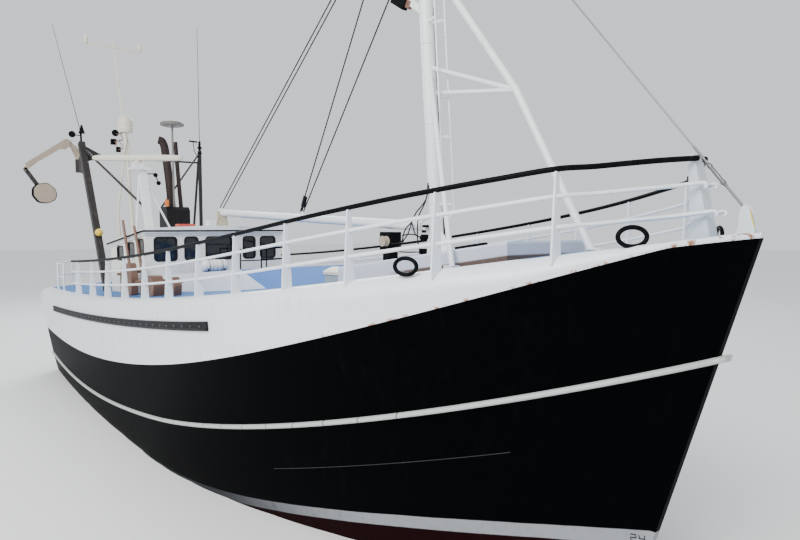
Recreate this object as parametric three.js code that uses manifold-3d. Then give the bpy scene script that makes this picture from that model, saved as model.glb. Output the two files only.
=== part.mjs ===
// A steel fishing trawler, about 24.4 m long, afloat in harbour.
// +X runs to the bow, +Y to port, +Z up. The origin is on the centreline amidships, at the waterline.
// Sizes are in millimetres.

import * as THREE from 'three';
import { mergeVertices } from 'three/addons/utils/BufferGeometryUtils.js';
import Module from 'manifold-3d';

const wasm = await Module();
wasm.setup();

// Driving dimensions of the hull.
const BOW_X = 12200;                  // stem head
const STERN_X = -12200;               // transom at deck height
const HALF_BEAM = 3530;
const STEM_RAKE = 0.31;               // how far the stem runs forward for each millimetre of height
const STEM_HALF = 60;                 // half the thickness of the stem bar
const QUARTER_RADIUS = 1000;          // plan radius of the rounded quarters
const GUNWALE_RADIUS = 260;
const DECK_CAMBER = 120;
const SEAT_GAP = 0.3;                 // air between a piece and what carries it
const RAIL_HEIGHT = 1100;
const MID_RAIL_HEIGHT = 730;
const LOW_RAIL_HEIGHT = 350;

const clamp = (value, low, high) => Math.min(high, Math.max(low, value));
const mix = (a, b, t) => a + (b - a) * t;

// Heights along the boat: the deck edge has a parabolic sheer, and so have the paint line and the strake.
const deckEdge = (x) => 3780 + 0.0906 * x + 3.476e-6 * x * x;
const paintLine = (x) => Math.min(1630 + 9.4e-6 * (x + 8000) ** 2, deckEdge(x) - 70);
const strakeLine = (x) => 622 + 9.12e-6 * (x + 7000) ** 2;
const stemX = (z) => (z >= 0
  ? BOW_X - STEM_RAKE * (5380 - z)
  : BOW_X - STEM_RAKE * 5380 + STEM_RAKE * z - 5.5e-4 * z * z);
const sternX = (z) => STERN_X + 0.12 * (3300 - z);

// The round of the bottom without the keel: it deepens aft, then runs up to the transom.
function bodyBottom(x) {
  if (x > -3000) return -1300 - (9200 - x) * 0.095;
  const t = clamp((-3000 - x) / 9200, 0, 1);
  return -2459 + 2100 * t * t * (3 - 2 * t);
}

// Half breadth of the plating at a place and height: full and flared at the deck, finer below.
function halfBreadth(x, z) {
  const v = clamp(z / deckEdge(x), 0, 1);
  const full = mix(3330, HALF_BEAM, Math.sqrt(v));
  const shoulder = 3000 * v;
  const u = clamp((x - shoulder) / (stemX(z) - shoulder), 0, 1);
  let half = full * (1 - u ** mix(1.9, 2.6, v)) ** mix(1.1, 0.7, v);
  const run = clamp((-2000 - x) / 10200, 0, 1);
  half *= 1 - 0.14 * (1 - v) * run * run;
  const radius = mix(400, QUARTER_RADIUS, v);
  const past = clamp(sternX(z) + radius - x, 0, radius);
  half -= radius - Math.sqrt(radius * radius - past * past);
  if (z < 0) {
    const w = clamp(z / bodyBottom(x), 0, 1);
    const middle = 1 - clamp(Math.abs(x + 500) / 9000, 0, 1);
    half *= (1 - w ** (1.2 + 1.4 * middle)) ** (1 - 0.35 * middle);
  }
  return Math.max(half, STEM_HALF);
}

// Stations from stern to stem as fractions of the length, closer together where the shape turns.
const STATIONS = [0, 0.006, 0.02, 0.045, 0.1, 0.19, 0.29, 0.39, 0.48, 0.57, 0.65, 0.72, 0.785, 0.84, 0.885,
  0.925, 0.955, 0.98, 0.994, 1];

// The place where a station meets a level, the level being a height that depends on x.
function hullPoint(station, heightAt) {
  let x = mix(STERN_X, BOW_X, station);
  let z = heightAt(x);
  for (let round = 0; round < 12; round += 1) {
    x = mix(sternX(z), stemX(z), station);
    z = heightAt(x);
  }
  return [x, halfBreadth(x, z), z];
}

// A closed body that is the same on both sides: rows run from stern to stem, columns from bottom to top.
// Each entry is [x, half breadth, z]; crown raises the middle of the top by a height for each row.
function mirroredLoft(rows, crown) {
  const columns = rows[0].length;
  const points = [];
  const faces = [];
  const starboard = (i, j) => i * columns + j;
  const port = (i, j) => (rows.length + i) * columns + j;
  const ridge = (i) => 2 * rows.length * columns + i;
  const quad = (a, b, c, d) => faces.push(a, b, c, a, c, d);
  for (const side of [-1, 1]) {
    for (const row of rows) for (const [x, y, z] of row) points.push(x, side * y, z);
  }
  rows.forEach((row, i) => {
    const [x, , z] = row[columns - 1];
    points.push(x, 0, z + crown[i]);
  });
  const last = rows.length - 1;
  const top = columns - 1;
  for (let i = 0; i < last; i += 1) {
    for (let j = 0; j < top; j += 1) {
      quad(starboard(i, j), starboard(i + 1, j), starboard(i + 1, j + 1), starboard(i, j + 1));
      quad(port(i, j), port(i, j + 1), port(i + 1, j + 1), port(i + 1, j));
    }
    quad(starboard(i, top), starboard(i + 1, top), ridge(i + 1), ridge(i));
    quad(ridge(i), ridge(i + 1), port(i + 1, top), port(i, top));
    quad(starboard(i, 0), port(i, 0), port(i + 1, 0), starboard(i + 1, 0));
  }
  for (let j = 0; j < top; j += 1) {
    quad(port(0, j), starboard(0, j), starboard(0, j + 1), port(0, j + 1));
    quad(starboard(last, j), port(last, j), port(last, j + 1), starboard(last, j + 1));
  }
  faces.push(port(0, top), starboard(0, top), ridge(0));
  faces.push(starboard(last, top), port(last, top), ridge(last));
  const geometry = new THREE.BufferGeometry();
  geometry.setAttribute('position', new THREE.Float32BufferAttribute(points, 3));
  geometry.setIndex(faces);
  return geometry;
}

// Joins and cuts. A mesh is first made clean: shared corners merged, empty triangles dropped, faces outward.
function cleaned(geometry) {
  const bare = geometry.clone();
  bare.deleteAttribute('normal');
  bare.deleteAttribute('uv');
  const merged = mergeVertices(bare, 1e-3);
  const place = merged.attributes.position.array;
  const index = merged.index.array;
  const kept = [];
  let volume = 0;
  for (let k = 0; k < index.length; k += 3) {
    const [a, b, c] = [index[k], index[k + 1], index[k + 2]];
    if (a === b || b === c || c === a) continue;
    kept.push(a, b, c);
    const [p, q, r] = [a, b, c].map((n) => new THREE.Vector3().fromArray(place, 3 * n));
    volume += p.dot(q.cross(r));
  }
  if (volume < 0) for (let k = 0; k < kept.length; k += 3) [kept[k], kept[k + 1]] = [kept[k + 1], kept[k]];
  merged.setIndex(kept);
  return merged;
}

function solidOf(geometry) {
  const closed = cleaned(geometry);
  return new wasm.Manifold(new wasm.Mesh({
    numProp: 3,
    vertProperties: Float32Array.from(closed.attributes.position.array),
    triVerts: Uint32Array.from(closed.index.array),
  }));
}

function geometryOf(solid) {
  const mesh = solid.getMesh();
  const geometry = new THREE.BufferGeometry();
  geometry.setAttribute('position', new THREE.Float32BufferAttribute(mesh.vertProperties, 3));
  geometry.setIndex(Array.from(mesh.triVerts));
  return geometry;
}

const join = (...pieces) => geometryOf(pieces.map(solidOf).reduce((sum, piece) => sum.add(piece)));

// What a cut leaves on the far side of its tool is dropped, so the largest body is the piece.
function cut(piece, ...tools) {
  const rest = tools.map(solidOf).reduce((left, tool) => left.subtract(tool), solidOf(piece));
  const bodies = rest.decompose();
  return geometryOf(bodies.reduce((best, body) => (body.volume() > best.volume() ? body : best)));
}

// Simple shapes.
const vec = (point) => new THREE.Vector3(...point);
const shifted = (geometry, x, y, z) => geometry.clone().translate(x, y, z);
const mirrored = (geometry) => geometry.clone().scale(1, -1, 1);
const block = ([x0, y0, z0], [x1, y1, z1]) => new THREE.BoxGeometry(x1 - x0, y1 - y0, z1 - z0)
  .translate((x0 + x1) / 2, (y0 + y1) / 2, (z0 + z1) / 2);

// A round bar from one point to another; the second radius tapers it.
function rod(from, to, radius, sides = 10, endRadius = radius) {
  const a = vec(from);
  const along = vec(to).sub(a);
  const turn = new THREE.Quaternion()
    .setFromUnitVectors(new THREE.Vector3(0, 1, 0), along.clone().normalize());
  const geometry = new THREE.CylinderGeometry(endRadius, radius, along.length(), sides);
  const middle = a.clone().addScaledVector(along, 0.5);
  return geometry.applyQuaternion(turn).translate(middle.x, middle.y, middle.z);
}

// A square bar from one point to another, its width across and its depth near the vertical.
function bar(from, to, width, depth) {
  const a = vec(from);
  const along = vec(to).sub(a);
  const x = along.clone().normalize();
  const upright = Math.abs(x.z) > 0.99 ? new THREE.Vector3(1, 0, 0) : new THREE.Vector3(0, 0, 1);
  const y = upright.clone().cross(x).normalize();
  const z = x.clone().cross(y);
  const turn = new THREE.Matrix4().makeBasis(x, y, z);
  const middle = a.clone().addScaledVector(along, 0.5);
  return new THREE.BoxGeometry(along.length(), width, depth).applyMatrix4(turn)
    .translate(middle.x, middle.y, middle.z);
}

// A pipe along a smooth path.
function pipe(points, radius, steps, sides = 8) {
  const section = new THREE.Shape();
  for (let k = 0; k < sides; k += 1) {
    const angle = (2 * Math.PI * k) / sides;
    const spot = [radius * Math.cos(angle), radius * Math.sin(angle)];
    if (k === 0) section.moveTo(...spot);
    else section.lineTo(...spot);
  }
  const path = new THREE.CatmullRomCurve3(points.map(vec), false, 'centripetal');
  return new THREE.ExtrudeGeometry(section, { steps, extrudePath: path, bevelEnabled: false });
}

// A plate: an outline in a plane, given as pairs, and a thickness about that plane.
function plate(outline, thickness, plane) {
  const shape = new THREE.Shape(outline.map(([a, b]) => new THREE.Vector2(a, b)));
  const options = { depth: thickness, bevelEnabled: false, curveSegments: 8 };
  const geometry = new THREE.ExtrudeGeometry(shape, options).translate(0, 0, -thickness / 2);
  if (plane === 'xz') geometry.rotateX(Math.PI / 2);
  if (plane === 'yz') geometry.rotateX(Math.PI / 2).rotateZ(Math.PI / 2);
  return geometry;
}

// A turned piece: profile pairs are [radius, height], and the axis stands up from the base.
const turned = (profile, sides = 20) => new THREE.LatheGeometry(
  profile.map(([radius, height]) => new THREE.Vector2(radius, height)), sides).rotateX(Math.PI / 2);

// Paints, as seen on the boat.
const paint = (color, roughness = 0.5, metalness = 0) => (
  new THREE.MeshStandardMaterial({ color, roughness, metalness }));
const black = paint(0x14161a, 0.45);
const white = paint(0xe4e8ec, 0.5);
const cream = paint(0xe2e0d4, 0.55);
const blue = paint(0x5f93c8, 0.55);
const grey = paint(0xa9b2bb, 0.6);
const rubber = paint(0x1b1c1e, 0.85);
const rusty = paint(0x5a3a2a, 0.85);
const steel = paint(0x6c7075, 0.5, 0.6);
const bronze = paint(0xa9803f, 0.4, 0.8);

const trawler = new THREE.Group();
function add(name, geometry, material) {
  const mesh = new THREE.Mesh(cleaned(geometry), material);
  mesh.name = name;
  trawler.add(mesh);
}

// The black hull, up to the paint line where the white shelter begins.
const HULL_LEVELS = [0, 0.05, 0.12, 0.2, 0.3, 0.4, 0.5, 0.62, 0.75, 0.88, 1];

function hullShell(growth) {
  const rows = STATIONS.map((station) => HULL_LEVELS.map((level) => {
    const [x, y, z] = hullPoint(station, (at) => mix(bodyBottom(at), paintLine(at), level));
    const end = station === 0 ? -growth : 0;
    return [x + end + (station === 1 ? growth : 0), y + growth, level === 0 ? z - growth : z];
  }));
  return mirroredLoft(rows, STATIONS.map(() => growth));
}

const RUDDER_X = -11100;
const TRUNK_BOTTOM = -760;
const hullBody = hullShell(0);
const rudderTrunk = rod([RUDDER_X, 0, 300], [RUDDER_X, 0, TRUNK_BOTTOM], 130, 16);
add('hull', join(hullBody, rudderTrunk), black);
const hullGrown = hullShell(SEAT_GAP);

// The white shelter above it, closed by the cambered deck. Its top edge is rolled in by the gunwale radius.
function shelterShell(growth) {
  const rows = STATIONS.map((station, i) => {
    const shape = hullPoint(station, deckEdge);
    const room = Math.max(deckEdge(shape[0]) - paintLine(shape[0]), 70);
    const radius = Math.min(GUNWALE_RADIUS, 0.75 * room, 0.4 * shape[1]);
    const low = hullPoint(station, (x) => paintLine(x) + SEAT_GAP);
    const rim = hullPoint(station, (x) => deckEdge(x) - radius);
    const before = hullPoint(STATIONS[Math.max(i - 1, 0)], (x) => deckEdge(x) - radius);
    const after = hullPoint(STATIONS[Math.min(i + 1, STATIONS.length - 1)], (x) => deckEdge(x) - radius);
    const run = new THREE.Vector2(after[0] - before[0], after[1] - before[1]).normalize();
    const normal = i === 0 ? new THREE.Vector2(-1, 0) : new THREE.Vector2(-run.y, run.x);
    const rolled = [30, 60, 90].map((degrees) => {
      const angle = THREE.MathUtils.degToRad(degrees);
      const inset = radius * (1 - Math.cos(angle));
      const rise = radius * Math.sin(angle);
      return [rim[0] - normal.x * inset, Math.max(rim[1] - normal.y * inset, 20), rim[2] + rise];
    });
    const end = station === 0 ? -growth : 0;
    return [low, rim, ...rolled].map(([x, y, z]) => [x + end, y + growth, z + growth]);
  });
  const crown = rows.map((row) => DECK_CAMBER * Math.min(1, row[row.length - 1][1] / 2500));
  return mirroredLoft(rows, crown);
}

const shelterBody = shelterShell(0);
add('shelter_deck', shelterBody, white);
const deckRaised = shifted(shelterBody, 0, 0, SEAT_GAP);
const shelterGrown = shelterShell(SEAT_GAP);
const onDeck = (piece) => cut(piece, deckRaised);

// Keel, deadwood and the sole piece that carries the rudder's heel, with the boss of the propeller shaft.
const SHAFT_Z = -2300;
const PROPELLER_X = -10250;
const PROPELLER_HUB = 640;
const keelOutline = [
  [9350, -1100], [9050, -1480], [-9400, -3300], [-11400, -3480], [-11400, -3260], [-9780, -3120],
  [-9650, -2600],
  [-9650, -600], [-7000, -1450], [-5000, -2050], [-3000, -2300], [9200, -1150],
];
const shaftBoss = rod([-8600, 0, SHAFT_Z], [-9900, 0, SHAFT_Z], 190, 14);
add('bar_keel', cut(join(plate(keelOutline, 300, 'xz'), shaftBoss), hullGrown), black);

// The raised strake along the side, and the rubber on the quarter.
const strakeStations = [0.03, 0.07, 0.13, 0.2, 0.28, 0.36, 0.44, 0.52, 0.6, 0.68, 0.75, 0.81, 0.86, 0.9, 0.94,
  0.97, 0.985, 0.9985];
const STRAKE_DEPTH = 88;
const STRAKE_PROUD = 52;
const BURIED = 90;                    // how far a band's inner edge lies inside the plating before it is cut
function sideBand(stations, lineAt, depth, proud, buried) {
  const rings = stations.map((station) => {
    const [x, , z] = hullPoint(station, lineAt);
    const y = halfBreadth(x, z);
    const inner = Math.max(y - buried, 2);
    return [[x, inner, z - depth], [x, y + proud, z - depth], [x, y + proud, z], [x, inner, z]];
  });
  const points = rings.flat(2);
  const faces = [];
  const at = (i, k) => 4 * i + (k % 4);
  for (let i = 0; i + 1 < rings.length; i += 1) {
    for (let k = 0; k < 4; k += 1) {
      faces.push(at(i, k), at(i, k + 1), at(i + 1, k + 1), at(i, k), at(i + 1, k + 1), at(i + 1, k));
    }
  }
  const end = rings.length - 1;
  faces.push(at(0, 0), at(0, 2), at(0, 1), at(0, 0), at(0, 3), at(0, 2));
  faces.push(at(end, 0), at(end, 1), at(end, 2), at(end, 0), at(end, 2), at(end, 3));
  const band = new THREE.BufferGeometry();
  band.setAttribute('position', new THREE.Float32BufferAttribute(points, 3));
  band.setIndex(faces);
  return band;
}

const strakeBand = sideBand(strakeStations, strakeLine, STRAKE_DEPTH, STRAKE_PROUD, BURIED);
const strake = cut(strakeBand, hullGrown, shelterGrown);
add('rub_strake_port', strake, white);
add('rub_strake_starboard', mirrored(strake), white);

const fenderStations = [0.13, 0.2, 0.28, 0.36, 0.44, 0.52, 0.6, 0.671];
const FENDER = { drop: 480, depth: 180, proud: 55 };
const fenderLine = (x) => deckEdge(x) - FENDER.drop;
const fenderBand = sideBand(fenderStations, fenderLine, FENDER.depth, FENDER.proud, BURIED);
const fender = cut(fenderBand, hullGrown, shelterGrown);
add('quarter_rubber_port', fender, rubber);
add('quarter_rubber_starboard', mirrored(fender), rubber);

// Guard rails: tapered stanchions set athwartships, two white pipes, and a thick top rail.
const stanchionX = [10460, 9075, 7690, 6285, 4650, 3045, 1370, -235, -1820, -3380, -4960, -6645];
const STANCHION = { headHalf: 36, footHalf: 92, thickness: 30 };
const railInset = (x) => mix(180, 310, clamp((8500 - x) / 3500, 0, 1));
const railHalf = (x) => halfBreadth(x, deckEdge(x)) - railInset(x);
const bowBend = [[11440, 100], [11200, 560], [10950, 930], [10700, 1270]];
const railRun = [
  10470, 9800, 9100, 8450, 7800, 7100, 6400, 4765, 3130, 1495, -140, -1775, -3410, -5045, -6680, -7450,
];
const railPath = (height) => [
  ...bowBend.map(([x, y]) => [x, y, deckEdge(x) + height]),
  ...railRun.map((x) => [x, railHalf(x), deckEdge(x) + height]),
];
const TOP_RAIL_RADIUS = 36;
const LOW_RAIL_RADIUS = 28;
const railTop = pipe(railPath(RAIL_HEIGHT - TOP_RAIL_RADIUS), TOP_RAIL_RADIUS, 34, 6);
const stanchions = stanchionX.map((x) => {
  const foot = deckEdge(x) - 110;
  const head = deckEdge(x) + RAIL_HEIGHT - TOP_RAIL_RADIUS;
  const mid = railHalf(x);
  const { headHalf, footHalf } = STANCHION;
  const outline = [
    [mid + footHalf, foot], [mid + footHalf, deckEdge(x) + 30], [mid + headHalf, head],
    [mid - headHalf, head], [mid - footHalf, deckEdge(x) + 30], [mid - footHalf, foot],
  ];
  return shifted(plate(outline, STANCHION.thickness, 'yz'), x, 0, 0);
});
const LOW_HEIGHTS = [MID_RAIL_HEIGHT, LOW_RAIL_HEIGHT];
const rails = LOW_HEIGHTS.map((height) => pipe(railPath(height), LOW_RAIL_RADIUS, 34, 6));
const railTopGrown = pipe(railPath(RAIL_HEIGHT - TOP_RAIL_RADIUS), TOP_RAIL_RADIUS + SEAT_GAP, 34, 6);
const railFrame = cut(onDeck(join(...stanchions, ...rails)), railTopGrown);
add('rail_frame_port', railFrame, white);
add('rail_frame_starboard', mirrored(railFrame), white);
add('top_rail_port', railTop, black);
add('top_rail_starboard', mirrored(railTop), black);

// The tapered post at the bow that the rails meet, the stem-head plate for the forestay, and the stern rail.
const bowPost = plate([[11400, 5000], [11700, 5000], [11395, 6390], [11320, 6390]], 240, 'xz');
const railsGrown = LOW_HEIGHTS.map((height) => pipe(railPath(height), LOW_RAIL_RADIUS + SEAT_GAP, 34, 6));
const railEnds = [railTopGrown, ...railsGrown].map((grown) => shifted(grown, 0, -SEAT_GAP, 0));
add('bow_post', onDeck(cut(bowPost, ...railEnds, ...railEnds.map(mirrored))), white);
const STAY_FOOT = [12020, 0, 5640];
const stemPlateOutline = [
  [11830, 5200], [12130, 5200], [12120, 5560], [12075, 5690], [12005, 5740], [11935, 5690], [11890, 5560],
];
const stemPlate = plate(stemPlateOutline, 70, 'xz');
const stayEye = rod([STAY_FOOT[0], -60, STAY_FOOT[2]], [STAY_FOOT[0], 60, STAY_FOOT[2]], 30, 10);
add('stem_plate', onDeck(join(stemPlate, stayEye)), white);

const sternRun = [[-9350, 3080], [-10300, 3070], [-11150, 2880], [-11680, 2300], [-11760, 1200], [-11770, 0]];
const sternPath = (height) => {
  const half = sternRun.map(([x, y]) => [x, y, deckEdge(x) + height]);
  return [...half, ...half.slice(0, -1).reverse().map(([x, y, z]) => [x, -y, z])];
};
const sternPosts = sternRun.flatMap(([x, y]) => (y ? [[x, y], [x, -y]] : [[x, 0]]))
  .map(([x, y]) => rod([x, y, deckEdge(x) - 120], [x, y, deckEdge(x) + 950], 30, 6));
const sternPipes = [950, 480].map((height) => pipe(sternPath(height), 28, 20, 6));
add('stern_rail', onDeck(join(...sternPosts, ...sternPipes)), white);

// Ring fairleads on the gunwale: an oval hoop standing on the edge, its eye facing outboard.
const fairleads = [
  { name: 'fairlead_aft', x: 8670, wide: 185, tall: 150, lift: 60, heading: 68 },
  { name: 'fairlead_forward', x: 11190, wide: 210, tall: 145, lift: 115, heading: 35 },
];
for (const { name, x, wide, tall, lift, heading } of fairleads) {
  const y = halfBreadth(x, deckEdge(x)) - 150;
  const section = new THREE.Shape();
  section.absellipse(0, 0, wide, tall, 0, 2 * Math.PI);
  const eye = new THREE.Path();
  eye.absellipse(0, 0, wide - 42, tall - 42, 0, 2 * Math.PI);
  section.holes.push(eye);
  const hoop = new THREE.ExtrudeGeometry(section, { depth: 60, bevelEnabled: false, curveSegments: 10 })
    .translate(0, 0, -30).rotateX(Math.PI / 2).rotateZ(THREE.MathUtils.degToRad(heading - 90))
    .translate(x, y, deckEdge(x) + lift);
  const seated = onDeck(hoop);
  add(`${name}_port`, seated, black);
  add(`${name}_starboard`, mirrored(seated), black);
}

// Deck structures forward of the wheelhouse: a low trunk round the mast, a casing with a sloping front.
const TRUNK_AFT = 4700;
const TRUNK_FORE = 9100;
const trunkTop = (x) => mix(4660, 5250, (x - TRUNK_AFT) / (TRUNK_FORE - TRUNK_AFT));
const trunkOutline = [
  [TRUNK_AFT, 3900], [TRUNK_FORE, 4300],
  [TRUNK_FORE, trunkTop(TRUNK_FORE)], [TRUNK_AFT, trunkTop(TRUNK_AFT)],
];
add('mast_trunk', onDeck(plate(trunkOutline, 2000, 'xz')), grey);
const CASING_HALF = 1600;
const CASING_FRONT = 1520;
const CASING_TOE = 3000;
const HOUSE_FRONT = -3300;
const CASING_HEIGHT = 430;
const casingTop = (x) => deckEdge(x) + DECK_CAMBER + CASING_HEIGHT;
const casingOutline = [
  [HOUSE_FRONT + SEAT_GAP, 3300], [CASING_TOE, 3700], [CASING_TOE, deckEdge(CASING_TOE) - 20],
  [CASING_FRONT, casingTop(CASING_FRONT)], [HOUSE_FRONT + SEAT_GAP, casingTop(HOUSE_FRONT)],
];
add('casing', onDeck(plate(casingOutline, 2 * CASING_HALF, 'xz')), blue);

// Wheelhouse: four walls with their windows cut, a cambered roof that falls aft, and a hinged door aft.
const HOUSE_AFT = -6700;
const HOUSE_HALF = 2200;
const WALL = 60;
const ROOF_OVERHANG = 110;
const ROOF_THICKNESS = 110;
const roofEdge = (x) => mix(5415, 5000, (HOUSE_FRONT - x) / (HOUSE_FRONT - HOUSE_AFT));
const roofRow = (x) => [
  [x, HOUSE_HALF + ROOF_OVERHANG, roofEdge(x) - ROOF_THICKNESS],
  [x, HOUSE_HALF + ROOF_OVERHANG, roofEdge(x)],
];
const ROOF_CROWN = 90;
const roof = mirroredLoft(
  [roofRow(HOUSE_AFT - ROOF_OVERHANG), roofRow(HOUSE_FRONT + ROOF_OVERHANG)], [ROOF_CROWN, ROOF_CROWN]);
add('wheelhouse_roof', roof, white);
const roofLowered = shifted(roof, 0, 0, -SEAT_GAP);
const roofRaised = join(shifted(roof, 0, 0, SEAT_GAP), shifted(roof, 0, 0, -ROOF_THICKNESS / 2),
  shifted(roof, 0, 0, -ROOF_THICKNESS), shifted(roof, 0, 0, -2 * ROOF_THICKNESS));
const underRoof = (piece) => cut(piece, deckRaised, roofLowered);

// A window's outline: low and high corner, with the corners taken off.
function pane([a0, b0], [a1, b1], corner = 70) {
  const outline = [
    [a0 + corner, b0], [a1 - corner, b0], [a1, b0 + corner], [a1, b1 - corner],
    [a1 - corner, b1], [a0 + corner, b1], [a0, b1 - corner], [a0, b0 + corner],
  ];
  return outline.map(([a, b]) => new THREE.Vector2(a, b));
}

function wall(outline, panes, plane, offset) {
  const shape = new THREE.Shape(outline.map(([a, b]) => new THREE.Vector2(a, b)));
  for (const hole of panes) shape.holes.push(new THREE.Path(hole));
  const geometry = new THREE.ExtrudeGeometry(shape, { depth: WALL, bevelEnabled: false })
    .translate(0, 0, -WALL / 2);
  geometry.rotateX(Math.PI / 2);
  if (plane === 'yz') return geometry.rotateZ(Math.PI / 2).translate(offset, 0, 0);
  return geometry.translate(0, offset, 0);
}

const frontWindows = [[-1930, -1300], [-1035, -650], [-380, 440], [850, 1240], [1450, 1960]];
const frontPanes = frontWindows.map(([y0, y1]) => pane([y0, 4500], [y1, 5165]));
const frontOutline = [[-HOUSE_HALF, 3300], [HOUSE_HALF, 3300], [HOUSE_HALF, 5400], [-HOUSE_HALF, 5400]];
add('wheelhouse_front', underRoof(wall(frontOutline, frontPanes, 'yz', HOUSE_FRONT - WALL / 2)), cream);

const sideWindows = [[-4000, -3430], [-4920, -4290], [-6010, -5380]];
const sidePanes = sideWindows.map(([x0, x1]) => pane([x0, roofEdge(x0) - 630], [x1, roofEdge(x0) - 220]));
const sideFore = HOUSE_FRONT - WALL - SEAT_GAP;
const sideOutline = [[HOUSE_AFT, 3200], [sideFore, 3200], [sideFore, 5400], [HOUSE_AFT, 5400]];
const sideWall = underRoof(wall(sideOutline, sidePanes, 'xz', HOUSE_HALF - WALL / 2));
add('wheelhouse_side_port', sideWall, cream);
add('wheelhouse_side_starboard', mirrored(sideWall), cream);

const DOOR = { inner: 800, outer: 1450, sill: 3640, head: 4840, clearance: 6 };
const aftHalf = HOUSE_HALF - WALL - SEAT_GAP;
const aftOutline = [[-aftHalf, 3200], [aftHalf, 3200], [aftHalf, 5100], [-aftHalf, 5100]];
const doorway = [
  [DOOR.inner, DOOR.sill], [DOOR.outer, DOOR.sill], [DOOR.outer, DOOR.head], [DOOR.inner, DOOR.head],
].map(([a, b]) => new THREE.Vector2(a, b));
const aftPanes = [doorway, pane([-1800, 4250], [-1000, 4800]), pane([-600, 4250], [300, 4800])];
const DOOR_AXIS = { x: HOUSE_AFT - 14, y: DOOR.outer - 3, radius: 13, knuckle: 60 };
function knuckle(z, leafEnd) {
  const reach = [DOOR_AXIS.y, leafEnd].sort((a, b) => a - b);
  const top = z + DOOR_AXIS.knuckle;
  return join(
    rod([DOOR_AXIS.x, DOOR_AXIS.y, z], [DOOR_AXIS.x, DOOR_AXIS.y, top], DOOR_AXIS.radius, 10),
    block([DOOR_AXIS.x - 4, reach[0], z], [HOUSE_AFT + 5, reach[1], top]));
}
const HINGE_HEIGHTS = [3800, 4600];
const wallKnuckles = HINGE_HEIGHTS.flatMap((z) => [-1, 1].map((way) => (
  knuckle(z + way * (DOOR_AXIS.knuckle + SEAT_GAP), DOOR.outer + 60))));
const aftWall = underRoof(wall(aftOutline, aftPanes, 'yz', HOUSE_AFT + WALL / 2));
add('wheelhouse_aft', join(aftWall, ...wallKnuckles), cream);
const doorSides = [DOOR.inner + DOOR.clearance, DOOR.outer - DOOR.clearance];
const doorEnds = [DOOR.sill + DOOR.clearance, DOOR.head - DOOR.clearance];
const doorOutline = [
  [doorSides[0], doorEnds[0]], [doorSides[1], doorEnds[0]],
  [doorSides[1], doorEnds[1]], [doorSides[0], doorEnds[1]],
];
const doorPane = pane([960, 4300], [1290, 4720], 60);
const doorLeaf = wall(doorOutline, [doorPane], 'yz', HOUSE_AFT + WALL / 2);
const doorKnuckles = HINGE_HEIGHTS.map((z) => knuckle(z, DOOR.outer - 70));
add('wheelhouse_door', join(doorLeaf, ...doorKnuckles), cream);

// Liferaft canister on the casing.
const RAFT = { x: -2550, y: -460, radius: 185, half: 415, lift: 35 };
const raftProfile = [[0, -RAFT.half], [130, -RAFT.half + 20], [RAFT.radius, -RAFT.half + 110],
  [RAFT.radius, RAFT.half - 110], [130, RAFT.half - 20], [0, RAFT.half]];
const raft = turned(raftProfile, 16).rotateX(Math.PI / 2)
  .translate(RAFT.x, RAFT.y, casingTop(RAFT.x) + RAFT.radius + RAFT.lift);
const raftFeet = [-250, 250].map((dy) => block(
  [RAFT.x - 150, RAFT.y + dy - 30, casingTop(RAFT.x) - 60],
  [RAFT.x + 150, RAFT.y + dy + 30, casingTop(RAFT.x) + 110]));
const casingRaised = shifted(plate(casingOutline, 2 * CASING_HALF, 'xz'), 0, 0, SEAT_GAP);
add('liferaft', cut(join(raft, ...raftFeet), casingRaised), white);

// Small hatch on deck between trunk and casing, its domed lid hinged aft.
const HATCH = { x0: 3150, x1: 3750, half: 300, top: 4400 };
const coaming = block([HATCH.x0, -HATCH.half, 3900], [HATCH.x1, HATCH.half, HATCH.top]);
add('hatch_coaming', onDeck(coaming), grey);
const lidShape = new THREE.Shape();
lidShape.moveTo(-HATCH.half - 30, 0);
lidShape.lineTo(HATCH.half + 30, 0);
lidShape.lineTo(HATCH.half + 30, 60);
lidShape.quadraticCurveTo(0, 260, -HATCH.half - 30, 60);
const lidLength = HATCH.x1 - HATCH.x0 + 60;
const lid = new THREE.ExtrudeGeometry(lidShape, { depth: lidLength, bevelEnabled: false, curveSegments: 10 })
  .rotateX(Math.PI / 2).rotateZ(Math.PI / 2).translate(HATCH.x0 - 30, 0, HATCH.top + SEAT_GAP);
add('hatch_lid', lid, grey);

// Foremast: a raked tube that tapers above the braces, with a ladder, a forward strut and its two braces.
const MAST_FOOT_X = 6570;
const MAST_FOOT_Z = 4880;
const MAST_RAKE = 0.0745;
const MAST_HEAD_Z = 13200;
const mastX = (z) => MAST_FOOT_X - MAST_RAKE * (z - MAST_FOOT_Z);
const onMast = (z, forward = 0, side = 0) => [mastX(z) + forward, side, z];
const MAST_RADIUS = 130;
const MAST_HEAD_RADIUS = 95;
const MAST_COLLAR = 140;
const MAST_BASE_Z = 4500;
const MAST_TAPER_Z = 9500;
const mastRadius = (z) => mix(MAST_RADIUS, MAST_HEAD_RADIUS,
  clamp((z - MAST_TAPER_Z) / (MAST_HEAD_Z - MAST_TAPER_Z), 0, 1));
const alongRake = new THREE.Matrix4().makeShear(0, 0, 0, 0, -MAST_RAKE, 0)
  .setPosition(MAST_FOOT_X + MAST_RAKE * MAST_FOOT_Z, 0, 0);
const mastShell = (grow) => turned([
  [0, MAST_BASE_Z], [MAST_RADIUS + grow, MAST_BASE_Z], [MAST_RADIUS + grow, MAST_TAPER_Z],
  [MAST_HEAD_RADIUS + grow, MAST_HEAD_Z], [MAST_COLLAR + grow, MAST_HEAD_Z + 20],
  [MAST_COLLAR + grow, MAST_HEAD_Z + 120],
  [0, MAST_HEAD_Z + 120],
], 14).applyMatrix4(alongRake);
const trunkRaised = shifted(plate(trunkOutline, 2000, 'xz'), 0, 0, SEAT_GAP);
const lampArm = bar(onMast(9500), onMast(9950, -620), 60, 130);
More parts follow.
